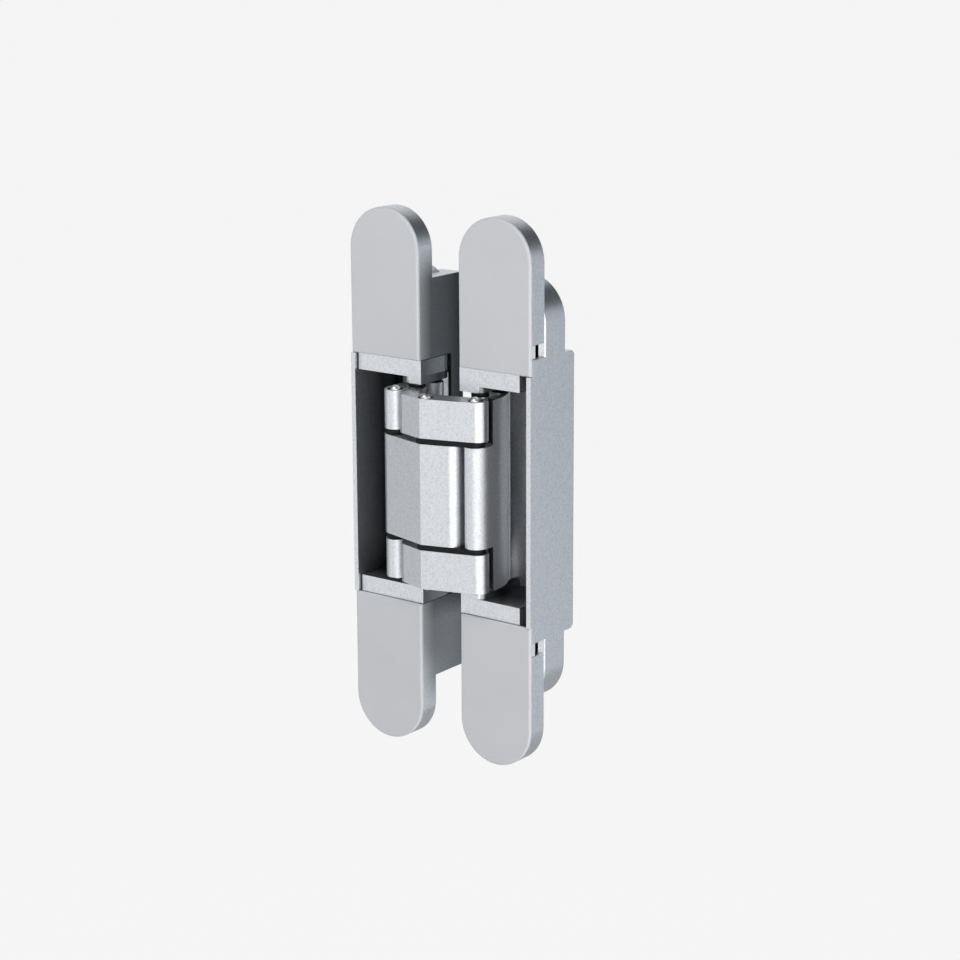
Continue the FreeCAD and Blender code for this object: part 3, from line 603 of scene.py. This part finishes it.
def left_link():
    knuckle_levels = [(LOBE_UNDER, ARM_HALF), (-ARM_HALF, -LOBE_UNDER)]
    body = link_body("left_link_body", knuckle_levels, [(-LOBE_UNDER, LOBE_UNDER)], False)
    dome_seats(body, LEFT_KNUCKLE)
    return softened(body, LEFT_LINK_EDGE)


def washers_and_shade_plates():
    """The two black plates between the arms, each round the crossing pin and the right knuckle's pin: black
    washers at the pins, joined by a black strip that is painted shade in the gap between the arms.
    """
    turn = angle_to(CROSS, RIGHT_KNUCKLE)
    plan = arc(CROSS[0], CROSS[1], PLATE_RIM, turn + 90, turn + 270, 24)
    plan += arc(RIGHT_KNUCKLE[0], RIGHT_KNUCKLE[1], PLATE_RIM, turn - 90, turn + 90, 24)
    low = MIDDLE_HALF + WASHER_PLAY
    high = LOBE_UNDER - WASHER_PLAY
    body = upright("outer_arm_bearing_plates", plan, low, high)
    joined(body, upright("plate", plan, -high, -low))
    bored(body, CROSS, RING_BORE)
    bored(body, RIGHT_KNUCKLE, RING_BORE)
    return softened(body, PLATE_EDGE)


# Geometry node trees

def new_tree(name, sizes):
    """A geometry node tree with a mesh of places as its input, named sizes and a material."""
    tree = bpy.data.node_groups.new(name, "GeometryNodeTree")
    tree.interface.new_socket("Places", in_out="INPUT", socket_type="NodeSocketGeometry")
    for size in sizes:
        tree.interface.new_socket(size, in_out="INPUT", socket_type="NodeSocketFloat")
    tree.interface.new_socket("Finish", in_out="INPUT", socket_type="NodeSocketMaterial")
    tree.interface.new_socket("Pieces", in_out="OUTPUT", socket_type="NodeSocketGeometry")
    inputs = tree.nodes.new("NodeGroupInput")
    outputs = tree.nodes.new("NodeGroupOutput")
    return tree, inputs, outputs


def maths(tree, operation, first, second=None):
    """A Math node whose inputs are sockets or plain numbers; gives its output socket."""
    node = tree.nodes.new("ShaderNodeMath")
    node.operation = operation
    for socket, value in zip(node.inputs, (first, second)):
        if value is None:
            continue
        if isinstance(value, (int, float)):
            socket.default_value = value
        else:
            tree.links.new(value, socket)
    return node.outputs[0]


def finish_tree(tree, inputs, outputs, instances):
    real = tree.nodes.new("GeometryNodeRealizeInstances")
    smooth = tree.nodes.new("GeometryNodeSetShadeSmooth")
    paint = tree.nodes.new("GeometryNodeSetMaterial")
    tree.links.new(instances, real.inputs[0])
    tree.links.new(real.outputs[0], smooth.inputs["Geometry"])
    tree.links.new(smooth.outputs[0], paint.inputs["Geometry"])
    tree.links.new(inputs.outputs["Finish"], paint.inputs["Material"])
    tree.links.new(paint.outputs[0], outputs.inputs[0])
    return tree


def rivet_tree():
    """Domed pins: a straight line along Z whose thickness falls off to a dome at each end."""
    tree, inputs, outputs = new_tree("Riveted pins", ["Radius", "Half Length", "Dome Rise"])
    count = 97
    line = tree.nodes.new("GeometryNodeMeshLine")
    line.inputs["Count"].default_value = count
    line.inputs["Offset"].default_value = (0, 0, MM)
    index = tree.nodes.new("GeometryNodeInputIndex")
    share = maths(tree, "DIVIDE", index.outputs[0], float(count - 1))
    turn = maths(tree, "MULTIPLY", maths(tree, "SUBTRACT", share, 0.5), math.pi)
    reach = maths(tree, "ADD", inputs.outputs["Half Length"], inputs.outputs["Dome Rise"])
    height = maths(tree, "MULTIPLY", maths(tree, "SINE", turn), reach)
    place = tree.nodes.new("ShaderNodeCombineXYZ")
    tree.links.new(height, place.inputs["Z"])
    move = tree.nodes.new("GeometryNodeSetPosition")
    tree.links.new(line.outputs[0], move.inputs["Geometry"])
    tree.links.new(place.outputs[0], move.inputs["Position"])
    curve = tree.nodes.new("GeometryNodeMeshToCurve")
    tree.links.new(move.outputs[0], curve.inputs[0])
    # Thickness: full up to the half length, then a quarter ellipse
    position = tree.nodes.new("GeometryNodeInputPosition")
    split = tree.nodes.new("ShaderNodeSeparateXYZ")
    tree.links.new(position.outputs[0], split.inputs[0])
    over = maths(tree, "SUBTRACT", maths(tree, "ABSOLUTE", split.outputs["Z"]), inputs.outputs["Half Length"])
    part = maths(tree, "DIVIDE", maths(tree, "MAXIMUM", over, 0.0), inputs.outputs["Dome Rise"])
    left = maths(tree, "SUBTRACT", 1.0, maths(tree, "POWER", part, 2.0))
    share_left = maths(tree, "SQRT", maths(tree, "MAXIMUM", left, 0.0004))
    thick = tree.nodes.new("GeometryNodeSetCurveRadius")
    tree.links.new(curve.outputs[0], thick.inputs["Curve"])
    tree.links.new(share_left, thick.inputs["Radius"])
    ring = tree.nodes.new("GeometryNodeCurvePrimitiveCircle")
    ring.inputs["Resolution"].default_value = 36
    tree.links.new(inputs.outputs["Radius"], ring.inputs["Radius"])
    sweep = tree.nodes.new("GeometryNodeCurveToMesh")
    tree.links.new(thick.outputs[0], sweep.inputs["Curve"])
    tree.links.new(ring.outputs[0], sweep.inputs["Profile Curve"])
    sweep.inputs["Fill Caps"].default_value = True
    scale = sweep.inputs.get("Scale")
    if scale is not None:
        radius = tree.nodes.new("GeometryNodeInputRadius")
        tree.links.new(radius.outputs[0], scale)
    copies = tree.nodes.new("GeometryNodeInstanceOnPoints")
    tree.links.new(inputs.outputs["Places"], copies.inputs["Points"])
    tree.links.new(sweep.outputs[0], copies.inputs["Instance"])
    return finish_tree(tree, inputs, outputs, copies.outputs[0])


def washer_tree():
    """Flat rings with a hole, each centred on its place."""
    tree, inputs, outputs = new_tree("Washers and bushes", ["Bore", "Rim", "Thickness"])
    middle = maths(tree, "MULTIPLY", maths(tree, "ADD", inputs.outputs["Bore"], inputs.outputs["Rim"]), 0.5)
    width = maths(tree, "SUBTRACT", inputs.outputs["Rim"], inputs.outputs["Bore"])
    path = tree.nodes.new("GeometryNodeCurvePrimitiveCircle")
    path.inputs["Resolution"].default_value = 48
    tree.links.new(middle, path.inputs["Radius"])
    section = tree.nodes.new("GeometryNodeCurvePrimitiveQuadrilateral")
    tree.links.new(width, section.inputs["Width"])
    tree.links.new(inputs.outputs["Thickness"], section.inputs["Height"])
    soft = tree.nodes.new("GeometryNodeFilletCurve")
    soft.inputs["Radius"].default_value = RING_EDGE * MM
    tree.links.new(section.outputs[0], soft.inputs["Curve"])
    sweep = tree.nodes.new("GeometryNodeCurveToMesh")
    tree.links.new(path.outputs[0], sweep.inputs["Curve"])
    tree.links.new(soft.outputs[0], sweep.inputs["Profile Curve"])
    copies = tree.nodes.new("GeometryNodeInstanceOnPoints")
    tree.links.new(inputs.outputs["Places"], copies.inputs["Points"])
    tree.links.new(sweep.outputs[0], copies.inputs["Instance"])
    return finish_tree(tree, inputs, outputs, copies.outputs[0])


def repeated(name, tree, places, sizes, finish):
    """Runs a tree on a set of places and gives the result as one plain mesh."""
    mesh = bpy.data.meshes.new(name)
    mesh.from_pydata([Vector(p) * MM for p in places], [], [])
    piece = new_object(name, mesh)
    maker = piece.modifiers.new("maker", "NODES")
    maker.node_group = tree
    for item in tree.interface.items_tree:
        if item.in_out == "INPUT" and item.name in sizes:
            maker[item.identifier] = sizes[item.name] * MM
        if item.in_out == "INPUT" and item.name == "Finish":
            maker[item.identifier] = finish
    return settle(piece)


# Materials

METALLIC = 0.96
LACQUER = (0.36, 0.44)
MATT_LACQUER = (0.44, 0.52)


def material(name):
    finish = bpy.data.materials.new(name)
    finish.use_nodes = True
    shader = finish.node_tree.nodes["Principled BSDF"]
    return finish, finish.node_tree, shader


def add(tree, kind, **values):
    """A new node with settings or input values given by name."""
    node = tree.nodes.new(kind)
    for key, value in values.items():
        if hasattr(node, key):
            setattr(node, key, value)
        else:
            node.inputs[key.replace("_", " ")].default_value = value
    return node


def noise(tree, where, scale, detail=4.0, roughness=0.6):
    node = add(tree, "ShaderNodeTexNoise", Scale=scale, Detail=detail, Roughness=roughness)
    tree.links.new(where, node.inputs["Vector"])
    return node.outputs["Fac"]


def ramp(tree, value, stops):
    """A colour ramp from (place, colour) stops."""
    node = tree.nodes.new("ShaderNodeValToRGB")
    tree.links.new(value, node.inputs[0])
    elements = node.color_ramp.elements
    while len(elements) < len(stops):
        elements.new(0.5)
    for element, (place, colour) in zip(elements, stops):
        element.position = place
        element.color = tuple(colour) + (1.0,)
    return node.outputs["Color"]


def spread(tree, value, low, high):
    """Maps a noise's 0.25 to 0.75 onto low to high."""
    node = add(tree, "ShaderNodeMapRange")
    node.inputs["From Min"].default_value = 0.25
    node.inputs["From Max"].default_value = 0.75
    node.inputs["To Min"].default_value = low
    node.inputs["To Max"].default_value = high
    tree.links.new(value, node.inputs["Value"])
    return node.outputs[0]


def bump(tree, shader, height, strength, distance):
    node = add(tree, "ShaderNodeBump", Strength=strength, Distance=distance)
    tree.links.new(height, node.inputs["Height"])
    tree.links.new(node.outputs[0], shader.inputs["Normal"])


def silver_lacquer(name, roughness=LACQUER):
    """Silver lacquer over a fine cast grain. Also gives the coordinates and the tint."""
    finish, tree, shader = material(name)
    where = tree.nodes.new("ShaderNodeTexCoord").outputs["Object"]
    grain = noise(tree, where, scale=1500.0, detail=3.0, roughness=0.7)
    mottle = noise(tree, where, scale=420.0, detail=5.0, roughness=0.65)
    tint = ramp(tree, grain, [(0.3, (0.565, 0.585, 0.615)), (0.5, (0.67, 0.685, 0.71)),
                              (0.72, (0.77, 0.78, 0.795))])
    tree.links.new(tint, shader.inputs["Base Color"])
    shader.inputs["Metallic"].default_value = METALLIC
    tree.links.new(spread(tree, mottle, *roughness), shader.inputs["Roughness"])
    bump(tree, shader, grain, strength=0.10, distance=0.00004)
    return finish, where, tint


def faded(tree, value, low, high, start, end):
    """Maps a distance from low to high, in millimetres, onto a tone from start to end."""
    node = add(tree, "ShaderNodeMapRange")
    node.inputs["From Min"].default_value = low * MM
    node.inputs["From Max"].default_value = high * MM
    node.inputs["To Min"].default_value = start
    node.inputs["To Max"].default_value = end
    tree.links.new(value, node.inputs["Value"])
    return node.outputs[0]


def within(tree, value, low, high):
    """1 where a distance lies between two limits in millimetres, else 0."""
    above = maths(tree, "GREATER_THAN", value, low * MM)
    return maths(tree, "MULTIPLY", above, maths(tree, "LESS_THAN", value, high * MM))


LEAF_NEAR = GAP / 2
LEAF_FAR = GAP / 2 + 2 * HALF_WIDTH
FACING = (0.0, LEAF_NEAR + 0.15)
FACING_LEVELS = (0.0, 67.4)
FACING_FADE = (58.0, 67.0)
FACING_DULL_BACK = 14.0
LOW_END = (-42.0, -36.0)
LOW_END_SHADE_SHARE = 0.7
POCKET_WALL = (LEAF_FAR - 3, LEAF_FAR - RIM_WALL / 2)
POCKET_LEVELS = (0.0, POCKET_HALF + 0.5)
BLOCK_LEVELS = (0.0, 60.0)
BOSS_LEVELS = (0.0, BLOCK_UNDER + 0.3)
WHOLE_LEAF = (0.0, LEAF_FAR)
NO_FADE = (200.0, 201.0)

# Painted shade: in these zones the lacquer's colour is darkened where shade falls. A zone gives its limits
# aside from the middle plane, in height and in depth, then the painted shade at its front and at its back,
# and the heights between which it fades away.
CASING_SHADE_ZONES = [
    # The sides that face each other
    (FACING, FACING_LEVELS, (-0.5, 6.0), (0.0, 0.72), FACING_FADE),
    (FACING, FACING_LEVELS, (6.0, 21.0), (0.72, 0.96), FACING_FADE),
    # The pocket's outer wall
    (POCKET_WALL, POCKET_LEVELS, (0.1, 12.0), (0.35, 0.95), NO_FADE),
    (POCKET_WALL, POCKET_LEVELS, (12.0, 20.0), (0.95, 0.95), NO_FADE),
    # The window's back edge
    ((LEAF_NEAR, LEAF_NEAR + 1.4), (0.0, WINDOW_HALF + 0.2), (14.8, 15.4), (0.9, 0.9), NO_FADE),
    # The well of the clip's slot, and its ramp
    ((LEAF_FAR - CLIP_CUT - 0.1, LEAF_FAR - CLIP_RAMP + 0.02), (CLIP_LOW - 0.1, CLIP_HIGH + 0.1),
     (1.5, CLIP_WELL + 0.1), (0.97, 0.97), NO_FADE),
    ((LEAF_FAR - CLIP_RAMP, LEAF_FAR + 0.02), (CLIP_LOW, CLIP_HIGH), (CLIP_BACK - 0.05, PLATE_DEPTH),
     (0.35, 0.35), NO_FADE),
]
# Painted shade on the blocks' sides that face each other and round their bosses
BLOCK_SHADE_ZONES = [
    (FACING, BLOCK_LEVELS, (1.5, 14.0), (0.45, 0.6), NO_FADE),
    (WHOLE_LEAF, BOSS_LEVELS, (1.7, 9.0), (0.45, 0.9), NO_FADE),
    (WHOLE_LEAF, BOSS_LEVELS, (9.0, 20.0), (0.9, 0.9), NO_FADE),
]
# Painted shade in the right link's notches, behind the outer arm's round ends
NOTCH_SHADE_ZONES = [
    ((LEAF_NEAR + 6.0, LEAF_NEAR + LINK_OUT - 0.1), (MIDDLE_HALF + 0.1, ARM_HALF + 0.1), (-2.0, 3.3),
     (0.92, 0.92), NO_FADE),
]


def lacquer_with_painted_shade(name, zones, dullness=0.0, roughness=LACQUER):
    """The same lacquer, with painted shade that darkens its colour in some zones."""
    finish, where, tint = silver_lacquer(name, roughness)
    tree = finish.node_tree
    split = tree.nodes.new("ShaderNodeSeparateXYZ")
    tree.links.new(where, split.inputs[0])
    aside = maths(tree, "ABSOLUTE", maths(tree, "SUBTRACT", split.outputs["X"], MIDDLE * MM))
    depth = maths(tree, "ADD", split.outputs["Y"], PLATE_DEPTH * MM)
    height = maths(tree, "ABSOLUTE", split.outputs["Z"])
    painted_shade = 0.0
    for beside, levels, depths, shade_amounts, fade in zones:
        zone = maths(tree, "MULTIPLY", within(tree, aside, *beside), within(tree, height, *levels))
        zone = maths(tree, "MULTIPLY", zone, within(tree, depth, *depths))
        zone = maths(tree, "MULTIPLY", zone, faded(tree, depth, *depths, *shade_amounts))
        zone = maths(tree, "MULTIPLY", zone, faded(tree, height, *fade, 1.0, 0.0))
        painted_shade = maths(tree, "MAXIMUM", zone, painted_shade)
    # The painted shade is weaker at the lower end, and the sides that face each other are duller towards the
    # front
    painted_shade = maths(tree, "MULTIPLY", painted_shade, faded(tree, split.outputs["Z"], *LOW_END, LOW_END_SHADE_SHARE, 1.0))
    dull = maths(tree, "MULTIPLY", within(tree, aside, *FACING),
                 faded(tree, depth, 0.0, FACING_DULL_BACK, dullness, 0.0))
    shader = tree.nodes["Principled BSDF"]
    tree.links.new(maths(tree, "SUBTRACT", METALLIC, dull), shader.inputs["Metallic"])
    shaded_tint = add(tree, "ShaderNodeVectorMath", operation="SCALE")
    tree.links.new(tint, shaded_tint.inputs[0])
    tree.links.new(maths(tree, "SUBTRACT", 1.0, painted_shade), shaded_tint.inputs["Scale"])
    tree.links.new(shaded_tint.outputs[0], shader.inputs["Base Color"])
    return finish


def cap_plastic():
    """Smooth light grey moulded plastic."""
    finish, tree, shader = material("moulded_cap_plastic")
    where = tree.nodes.new("ShaderNodeTexCoord").outputs["Object"]
    cloud = noise(tree, where, scale=45.0, detail=4.0, roughness=0.5)
    skin = noise(tree, where, scale=2600.0, detail=2.0, roughness=0.5)
    tint = ramp(tree, cloud, [(0.3, (0.45, 0.457, 0.474)), (0.7, (0.47, 0.477, 0.494))])
    # Painted highlight: the colour is made paler from the front face back over the rounded edge and onto the
    # sides
    split = tree.nodes.new("ShaderNodeSeparateXYZ")
    tree.links.new(where, split.inputs[0])
    depth = maths(tree, "ADD", split.outputs["Y"], PLATE_DEPTH * MM)
    edge = add(tree, "ShaderNodeVectorMath", operation="SCALE")
    tree.links.new(tint, edge.inputs[0])
    tree.links.new(faded(tree, depth, low=0.02, high=0.4, start=1.0, end=1.45), edge.inputs["Scale"])
    tree.links.new(edge.outputs[0], shader.inputs["Base Color"])
    tree.links.new(spread(tree, cloud, low=0.34, high=0.40), shader.inputs["Roughness"])
    bump(tree, shader, skin, strength=0.04, distance=0.00002)
    return finish


def polished_steel():
    """Polished pin steel with a faint cloudiness."""
    finish, tree, shader = material("polished_pin_steel")
    where = tree.nodes.new("ShaderNodeTexCoord").outputs["Object"]
    fine = noise(tree, where, scale=900.0, detail=3.0, roughness=0.6)
    tree.links.new(ramp(tree, fine, [(0.3, (0.70, 0.70, 0.71)), (0.7, (0.78, 0.78, 0.79))]),
                   shader.inputs["Base Color"])
    shader.inputs["Metallic"].default_value = 1.0
    tree.links.new(spread(tree, fine, low=0.30, high=0.34), shader.inputs["Roughness"])
    return finish


def bearing_plastic_and_shade_fill():
    """Black plastic of the washers and bushes; the same black fills the rivet seats and the gap between the
    arms as painted shade.
    """
    finish, tree, shader = material("black_bearing_plastic")
    where = tree.nodes.new("ShaderNodeTexCoord").outputs["Object"]
    fine = noise(tree, where, scale=1100.0, detail=3.0, roughness=0.6)
    tree.links.new(ramp(tree, fine, [(0.3, (0.005, 0.0052, 0.006)), (0.7, (0.010, 0.0105, 0.0115))]),
                   shader.inputs["Base Color"])
    tree.links.new(spread(tree, fine, low=0.34, high=0.44), shader.inputs["Roughness"])
    shader.inputs["Specular IOR Level"].default_value = 0.15
    return finish


def plated_steel():
    """Zinc-plated steel of the screws."""
    finish, tree, shader = material("plated_screw_steel")
    where = tree.nodes.new("ShaderNodeTexCoord").outputs["Object"]
    cloud = noise(tree, where, scale=350.0, detail=4.0, roughness=0.6)
    tree.links.new(ramp(tree, cloud, [(0.3, (0.50, 0.51, 0.52)), (0.7, (0.62, 0.62, 0.61))]),
                   shader.inputs["Base Color"])
    shader.inputs["Metallic"].default_value = 1.0
    tree.links.new(spread(tree, cloud, low=0.24, high=0.36), shader.inputs["Roughness"])
    return finish


METAL = silver_lacquer("satin_cast_metal")[0]
LINK_METAL = silver_lacquer("matt_link_metal", MATT_LACQUER)[0]
# The next three lacquers carry painted shade in their zones
RIGHT_LINK_METAL = lacquer_with_painted_shade("satin_link_metal_painted_shade", NOTCH_SHADE_ZONES, roughness=MATT_LACQUER)
CASING = lacquer_with_painted_shade("satin_casing_metal_painted_shade", CASING_SHADE_ZONES, dullness=0.5)
BLOCK = lacquer_with_painted_shade("satin_block_metal_painted_shade", BLOCK_SHADE_ZONES)
PLASTIC = cap_plastic()
STEEL = polished_steel()
BLACK = bearing_plastic_and_shade_fill()
PLATED = plated_steel()


def dress(piece, finish, body, slot, *nodes):
    """Gives a finished piece its material and body, and hides the solids it stands for. The slot is not used.
    """
    piece.data.materials.clear()
    piece.data.materials.append(finish)
    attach(piece, body)
    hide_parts(*nodes)
    return piece


# The dressed pieces

casing = left_casing()
other = reflected(casing, "right_casing_body", "X", MIDDLE)
dress(casing, CASING, "left_leaf", "cast_metal", "left_casing")
dress(other, CASING, "right_leaf", "cast_metal", "right_casing")

cover = left_upper_cap()
low_cover = reflected(cover, "left_lower_cap_body", "Z")
right_cover = reflected(cover, "right_upper_cap_body", "X", MIDDLE)
right_low_cover = reflected(right_cover, "right_lower_cap_body", "Z")
dress(cover, PLASTIC, "left_leaf", "cap_plastic", "left_upper_cap")
dress(low_cover, PLASTIC, "left_leaf", "cap_plastic", "left_lower_cap")
dress(right_cover, PLASTIC, "right_leaf", "cap_plastic", "right_upper_cap")
dress(right_low_cover, PLASTIC, "right_leaf", "cap_plastic", "right_lower_cap")

left_block = upper_block("left_upper_block_body", True)
left_low_block = reflected(left_block, "left_lower_block_body", "Z")
shaped = upper_block("right_block_shape", False)
right_block = reflected(shaped, "right_upper_block_body", "X", MIDDLE)
right_low_block = reflected(right_block, "right_lower_block_body", "Z")
bpy.data.objects.remove(shaped)
dress(left_block, BLOCK, "left_leaf", "cast_metal", "left_upper_block")
dress(left_low_block, BLOCK, "left_leaf", "cast_metal", "left_lower_block")
dress(right_block, BLOCK, "right_carriage", "cast_metal", "right_upper_block")
dress(right_low_block, BLOCK, "right_carriage", "cast_metal", "right_lower_block")

dress(outer_arm(), METAL, "outer_arm", "cast_metal", "outer_arm")
dress(inner_arm(), METAL, "inner_arm", "cast_metal", "inner_arm")
dress(left_link(), LINK_METAL, "left_link", "cast_metal", "left_link")
dress(right_link(), RIGHT_LINK_METAL, "right_link", "cast_metal", "right_link")

rivets = rivet_tree()
washers = washer_tree()
rivet_sizes = {"Radius": PIN_RADIUS, "Half Length": ARM_HALF - DOME_SEAT_DEPTH, "Dome Rise": DOME_RISE}
outer_pins = repeated("outer_arm_rivets", rivets, [CROSS + (0,), RIGHT_KNUCKLE + (0,)], rivet_sizes, STEEL)
inner_pins = repeated("inner_arm_rivet", rivets, [LEFT_KNUCKLE + (0,)], rivet_sizes, STEEL)
dress(outer_pins, STEEL, "outer_arm", "pin_steel", "crossing_pin", "right_knuckle_pin")
dress(inner_pins, STEEL, "inner_arm", "pin_steel", "left_knuckle_pin")

washer_sizes = {"Bore": RING_BORE, "Rim": WASHER_RIM,
                "Thickness": LOBE_UNDER - MIDDLE_HALF - 2 * WASHER_PLAY}
washer_height = (LOBE_UNDER + MIDDLE_HALF) / 2
inner_places = [LEFT_KNUCKLE + (up * washer_height,) for up in (1, -1)]
inner_rings = repeated("inner_arm_washer_set", washers, inner_places, washer_sizes, BLACK)
dress(inner_rings, BLACK, "inner_arm", "washer_plastic", "inner_arm_washers")
# Black washers joined by a strip of painted shade between the pins
dress(washers_and_shade_plates(), BLACK, "outer_arm", "washer_plastic", "outer_arm_washers")

# Painted shade: black rings fill the seats that the rivet heads sit in, where the seats lie dark under the
# blocks
seat_shade_ring_sizes = {"Bore": RING_BORE, "Rim": DOME_SEAT - SEAT_SHADE_RING_PLAY,
                "Thickness": DOME_SEAT_DEPTH - 2 * SEAT_SHADE_RING_PLAY}
seat_shade_ring_height = ARM_HALF - DOME_SEAT_DEPTH / 2
for body, spots in (("outer_arm", (CROSS, RIGHT_KNUCKLE)), ("left_link", (LEFT_KNUCKLE,))):
    places = [spot + (up * seat_shade_ring_height,) for spot in spots for up in (1, -1)]
    seat_shade_rings = repeated(body + "_seat_shade_ring_set", washers, places, seat_shade_ring_sizes, BLACK)
    dress(seat_shade_rings, BLACK, body, "washer_plastic")

# Bearing bushes, which show between the barrels and the blocks' bosses
bush_sizes = {"Bore": PIVOT_BORE, "Rim": ARM_BARREL, "Thickness": BARREL_HALF - ARM_HALF}
bush_height = (BARREL_HALF + ARM_HALF) / 2
for body, pivot in (("outer_arm", ARM_PIVOT), ("inner_arm", ARM_PIVOT),
                    ("left_link", LINK_PIVOT), ("right_link", LINK_PIVOT)):
    x = HALF_WIDTH - pivot[0]
    if body in ("inner_arm", "right_link"):
        x = 2 * MIDDLE - x
    spots = [(x, deep(pivot[1]), side * bush_height) for side in (1, -1)]
    bushes = repeated(body + "_bush_set", washers, spots, bush_sizes, BLACK)
    dress(bushes, BLACK, body, "washer_plastic")

# Solids that keep their own shape
CAD_FINISH = {"left_arm_pin": STEEL, "right_arm_pin": STEEL, "left_link_pin": STEEL,
              "right_link_pin": STEEL, "left_clamp_screws": PLATED, "right_clamp_screws": PLATED}
for node, finish in CAD_FINISH.items():
    solid = bpy.data.objects[node]
    for slot in solid.material_slots:
        slot.material = finish


# Floor, lights and camera

def backdrop_material():
    """Pale floor: shows as even pale grey to the camera and keeps the object's shadow."""
    finish = bpy.data.materials.new("pale_floor")
    finish.use_nodes = True
    tree = finish.node_tree
    tree.nodes.clear()
    where = tree.nodes.new("ShaderNodeTexCoord").outputs["Object"]
    cloud = noise(tree, where, scale=1.5, detail=2.0, roughness=0.4)
    lit = tree.nodes.new("ShaderNodeBsdfDiffuse")
    pale = ramp(tree, cloud, [(0.3, (0.88, 0.88, 0.88)), (0.7, (0.90, 0.90, 0.90))])
    tree.links.new(pale, lit.inputs["Color"])
    glow = add(tree, "ShaderNodeEmission", Color=(0.93, 0.93, 0.93, 1.0), Strength=1.0)
    path = tree.nodes.new("ShaderNodeLightPath")
    share = add(tree, "ShaderNodeMath", operation="MULTIPLY")
    share.inputs[1].default_value = 0.98
    tree.links.new(path.outputs["Is Camera Ray"], share.inputs[0])
    mix = tree.nodes.new("ShaderNodeMixShader")
    tree.links.new(share.outputs[0], mix.inputs["Fac"])
    tree.links.new(lit.outputs[0], mix.inputs[1])
    tree.links.new(glow.outputs[0], mix.inputs[2])
    out = tree.nodes.new("ShaderNodeOutputMaterial")
    tree.links.new(mix.outputs[0], out.inputs["Surface"])
    return finish


# The floor's half width and its level are in metres
FLOOR_HALF = 30
FLOOR_LEVEL = -0.6
floor_mesh = bpy.data.meshes.new("floor")
floor_plan = box_points(-FLOOR_HALF, -FLOOR_HALF, FLOOR_HALF, FLOOR_HALF)
floor_mesh.from_pydata([(x, y, FLOOR_LEVEL) for x, y in floor_plan], [], [(0, 1, 2, 3)])
floor = new_object("floor", floor_mesh)
floor_mesh.materials.append(backdrop_material())

world = bpy.data.worlds.new("studio")
bpy.context.scene.world = world
world.use_nodes = True
sky = world.node_tree
sky.nodes.clear()
fill = add(sky, "ShaderNodeBackground", Color=(0.72, 0.86, 1.0, 1.0), Strength=0.05)
shown = add(sky, "ShaderNodeBackground", Color=(0.913, 0.913, 0.913, 1.0), Strength=1.0)
path = sky.nodes.new("ShaderNodeLightPath")
mix = sky.nodes.new("ShaderNodeMixShader")
sky.links.new(path.outputs["Is Camera Ray"], mix.inputs["Fac"])
sky.links.new(fill.outputs[0], mix.inputs[1])
sky.links.new(shown.outputs[0], mix.inputs[2])
sky.links.new(mix.outputs[0], sky.nodes.new("ShaderNodeOutputWorld").inputs["Surface"])

CENTRE = Vector((19.1, 3.0, 0.0)) * MM


def softbox(name, bearing, height, distance, size, power, colour):
    """A square lamp aimed at the hinge. Bearing is the angle from straight in front towards +X."""
    turn = math.radians(bearing)
    rise = math.radians(height)
    away = Vector((math.sin(turn) * math.cos(rise), -math.cos(turn) * math.cos(rise), math.sin(rise)))
    lamp = bpy.data.lights.new(name, "AREA")
    lamp.shape = "RECTANGLE"
    lamp.size, lamp.size_y = size
    lamp.energy = power
    lamp.color = colour
    holder = bpy.data.objects.new(name, lamp)
    bpy.context.scene.collection.objects.link(holder)
    holder.location = CENTRE + away * distance
    holder.rotation_euler = away.to_track_quat("Z", "Y").to_euler()
    holder.visible_camera = False
    return holder


NEUTRAL = (1.0, 1.0, 1.0)
COOL = (0.88, 0.945, 1.0)
softbox("front", bearing=-30, height=0, distance=1.1, size=(1.95, 1.2), power=7.1, colour=NEUTRAL)
softbox("key", bearing=44, height=6, distance=1.0, size=(1.1, 1.1), power=8.6, colour=NEUTRAL)
softbox("side", bearing=86, height=-4, distance=1.0, size=(0.5, 1.0), power=2.3, colour=NEUTRAL)
softbox("right", bearing=130, height=-6, distance=1.0, size=(0.6, 0.9), power=1.5, colour=COOL)
softbox("back", bearing=-141, height=26, distance=1.3, size=(1.5, 1.0), power=4.5, colour=NEUTRAL)
softbox("top", bearing=-10, height=55, distance=0.5, size=(0.4, 0.3), power=0.9, colour=NEUTRAL)

# Camera fitted to the photograph
YAW = -0.6456
PITCH = -0.2268
ROLL = -0.0046
EYE_X = 404.236
EYE_DEEP = -492.850
EYE_Z = 160.493
look = Vector((math.sin(YAW) * math.cos(PITCH), math.cos(YAW) * math.cos(PITCH), math.sin(PITCH)))
level_right = Vector((math.cos(YAW), -math.sin(YAW), 0))
level_up = level_right.cross(look)
right = level_right * math.cos(ROLL) + level_up * math.sin(ROLL)
up = level_up * math.cos(ROLL) - level_right * math.sin(ROLL)
camera = bpy.data.cameras.new("camera")
camera.sensor_width = 36.0
camera.lens = 86.655
camera.shift_x = 0.0014
camera.shift_y = -0.0501
camera.clip_end = 100.0
eye = bpy.data.objects.new("camera", camera)
bpy.context.scene.collection.objects.link(eye)
turned = Matrix((right, up, -look)).transposed().to_4x4()
turned.translation = Vector((EYE_X, EYE_DEEP - PLATE_DEPTH, EYE_Z)) * MM
eye.matrix_world = turned
bpy.context.scene.camera = eye
bpy.context.scene.view_settings.view_transform = "Standard"
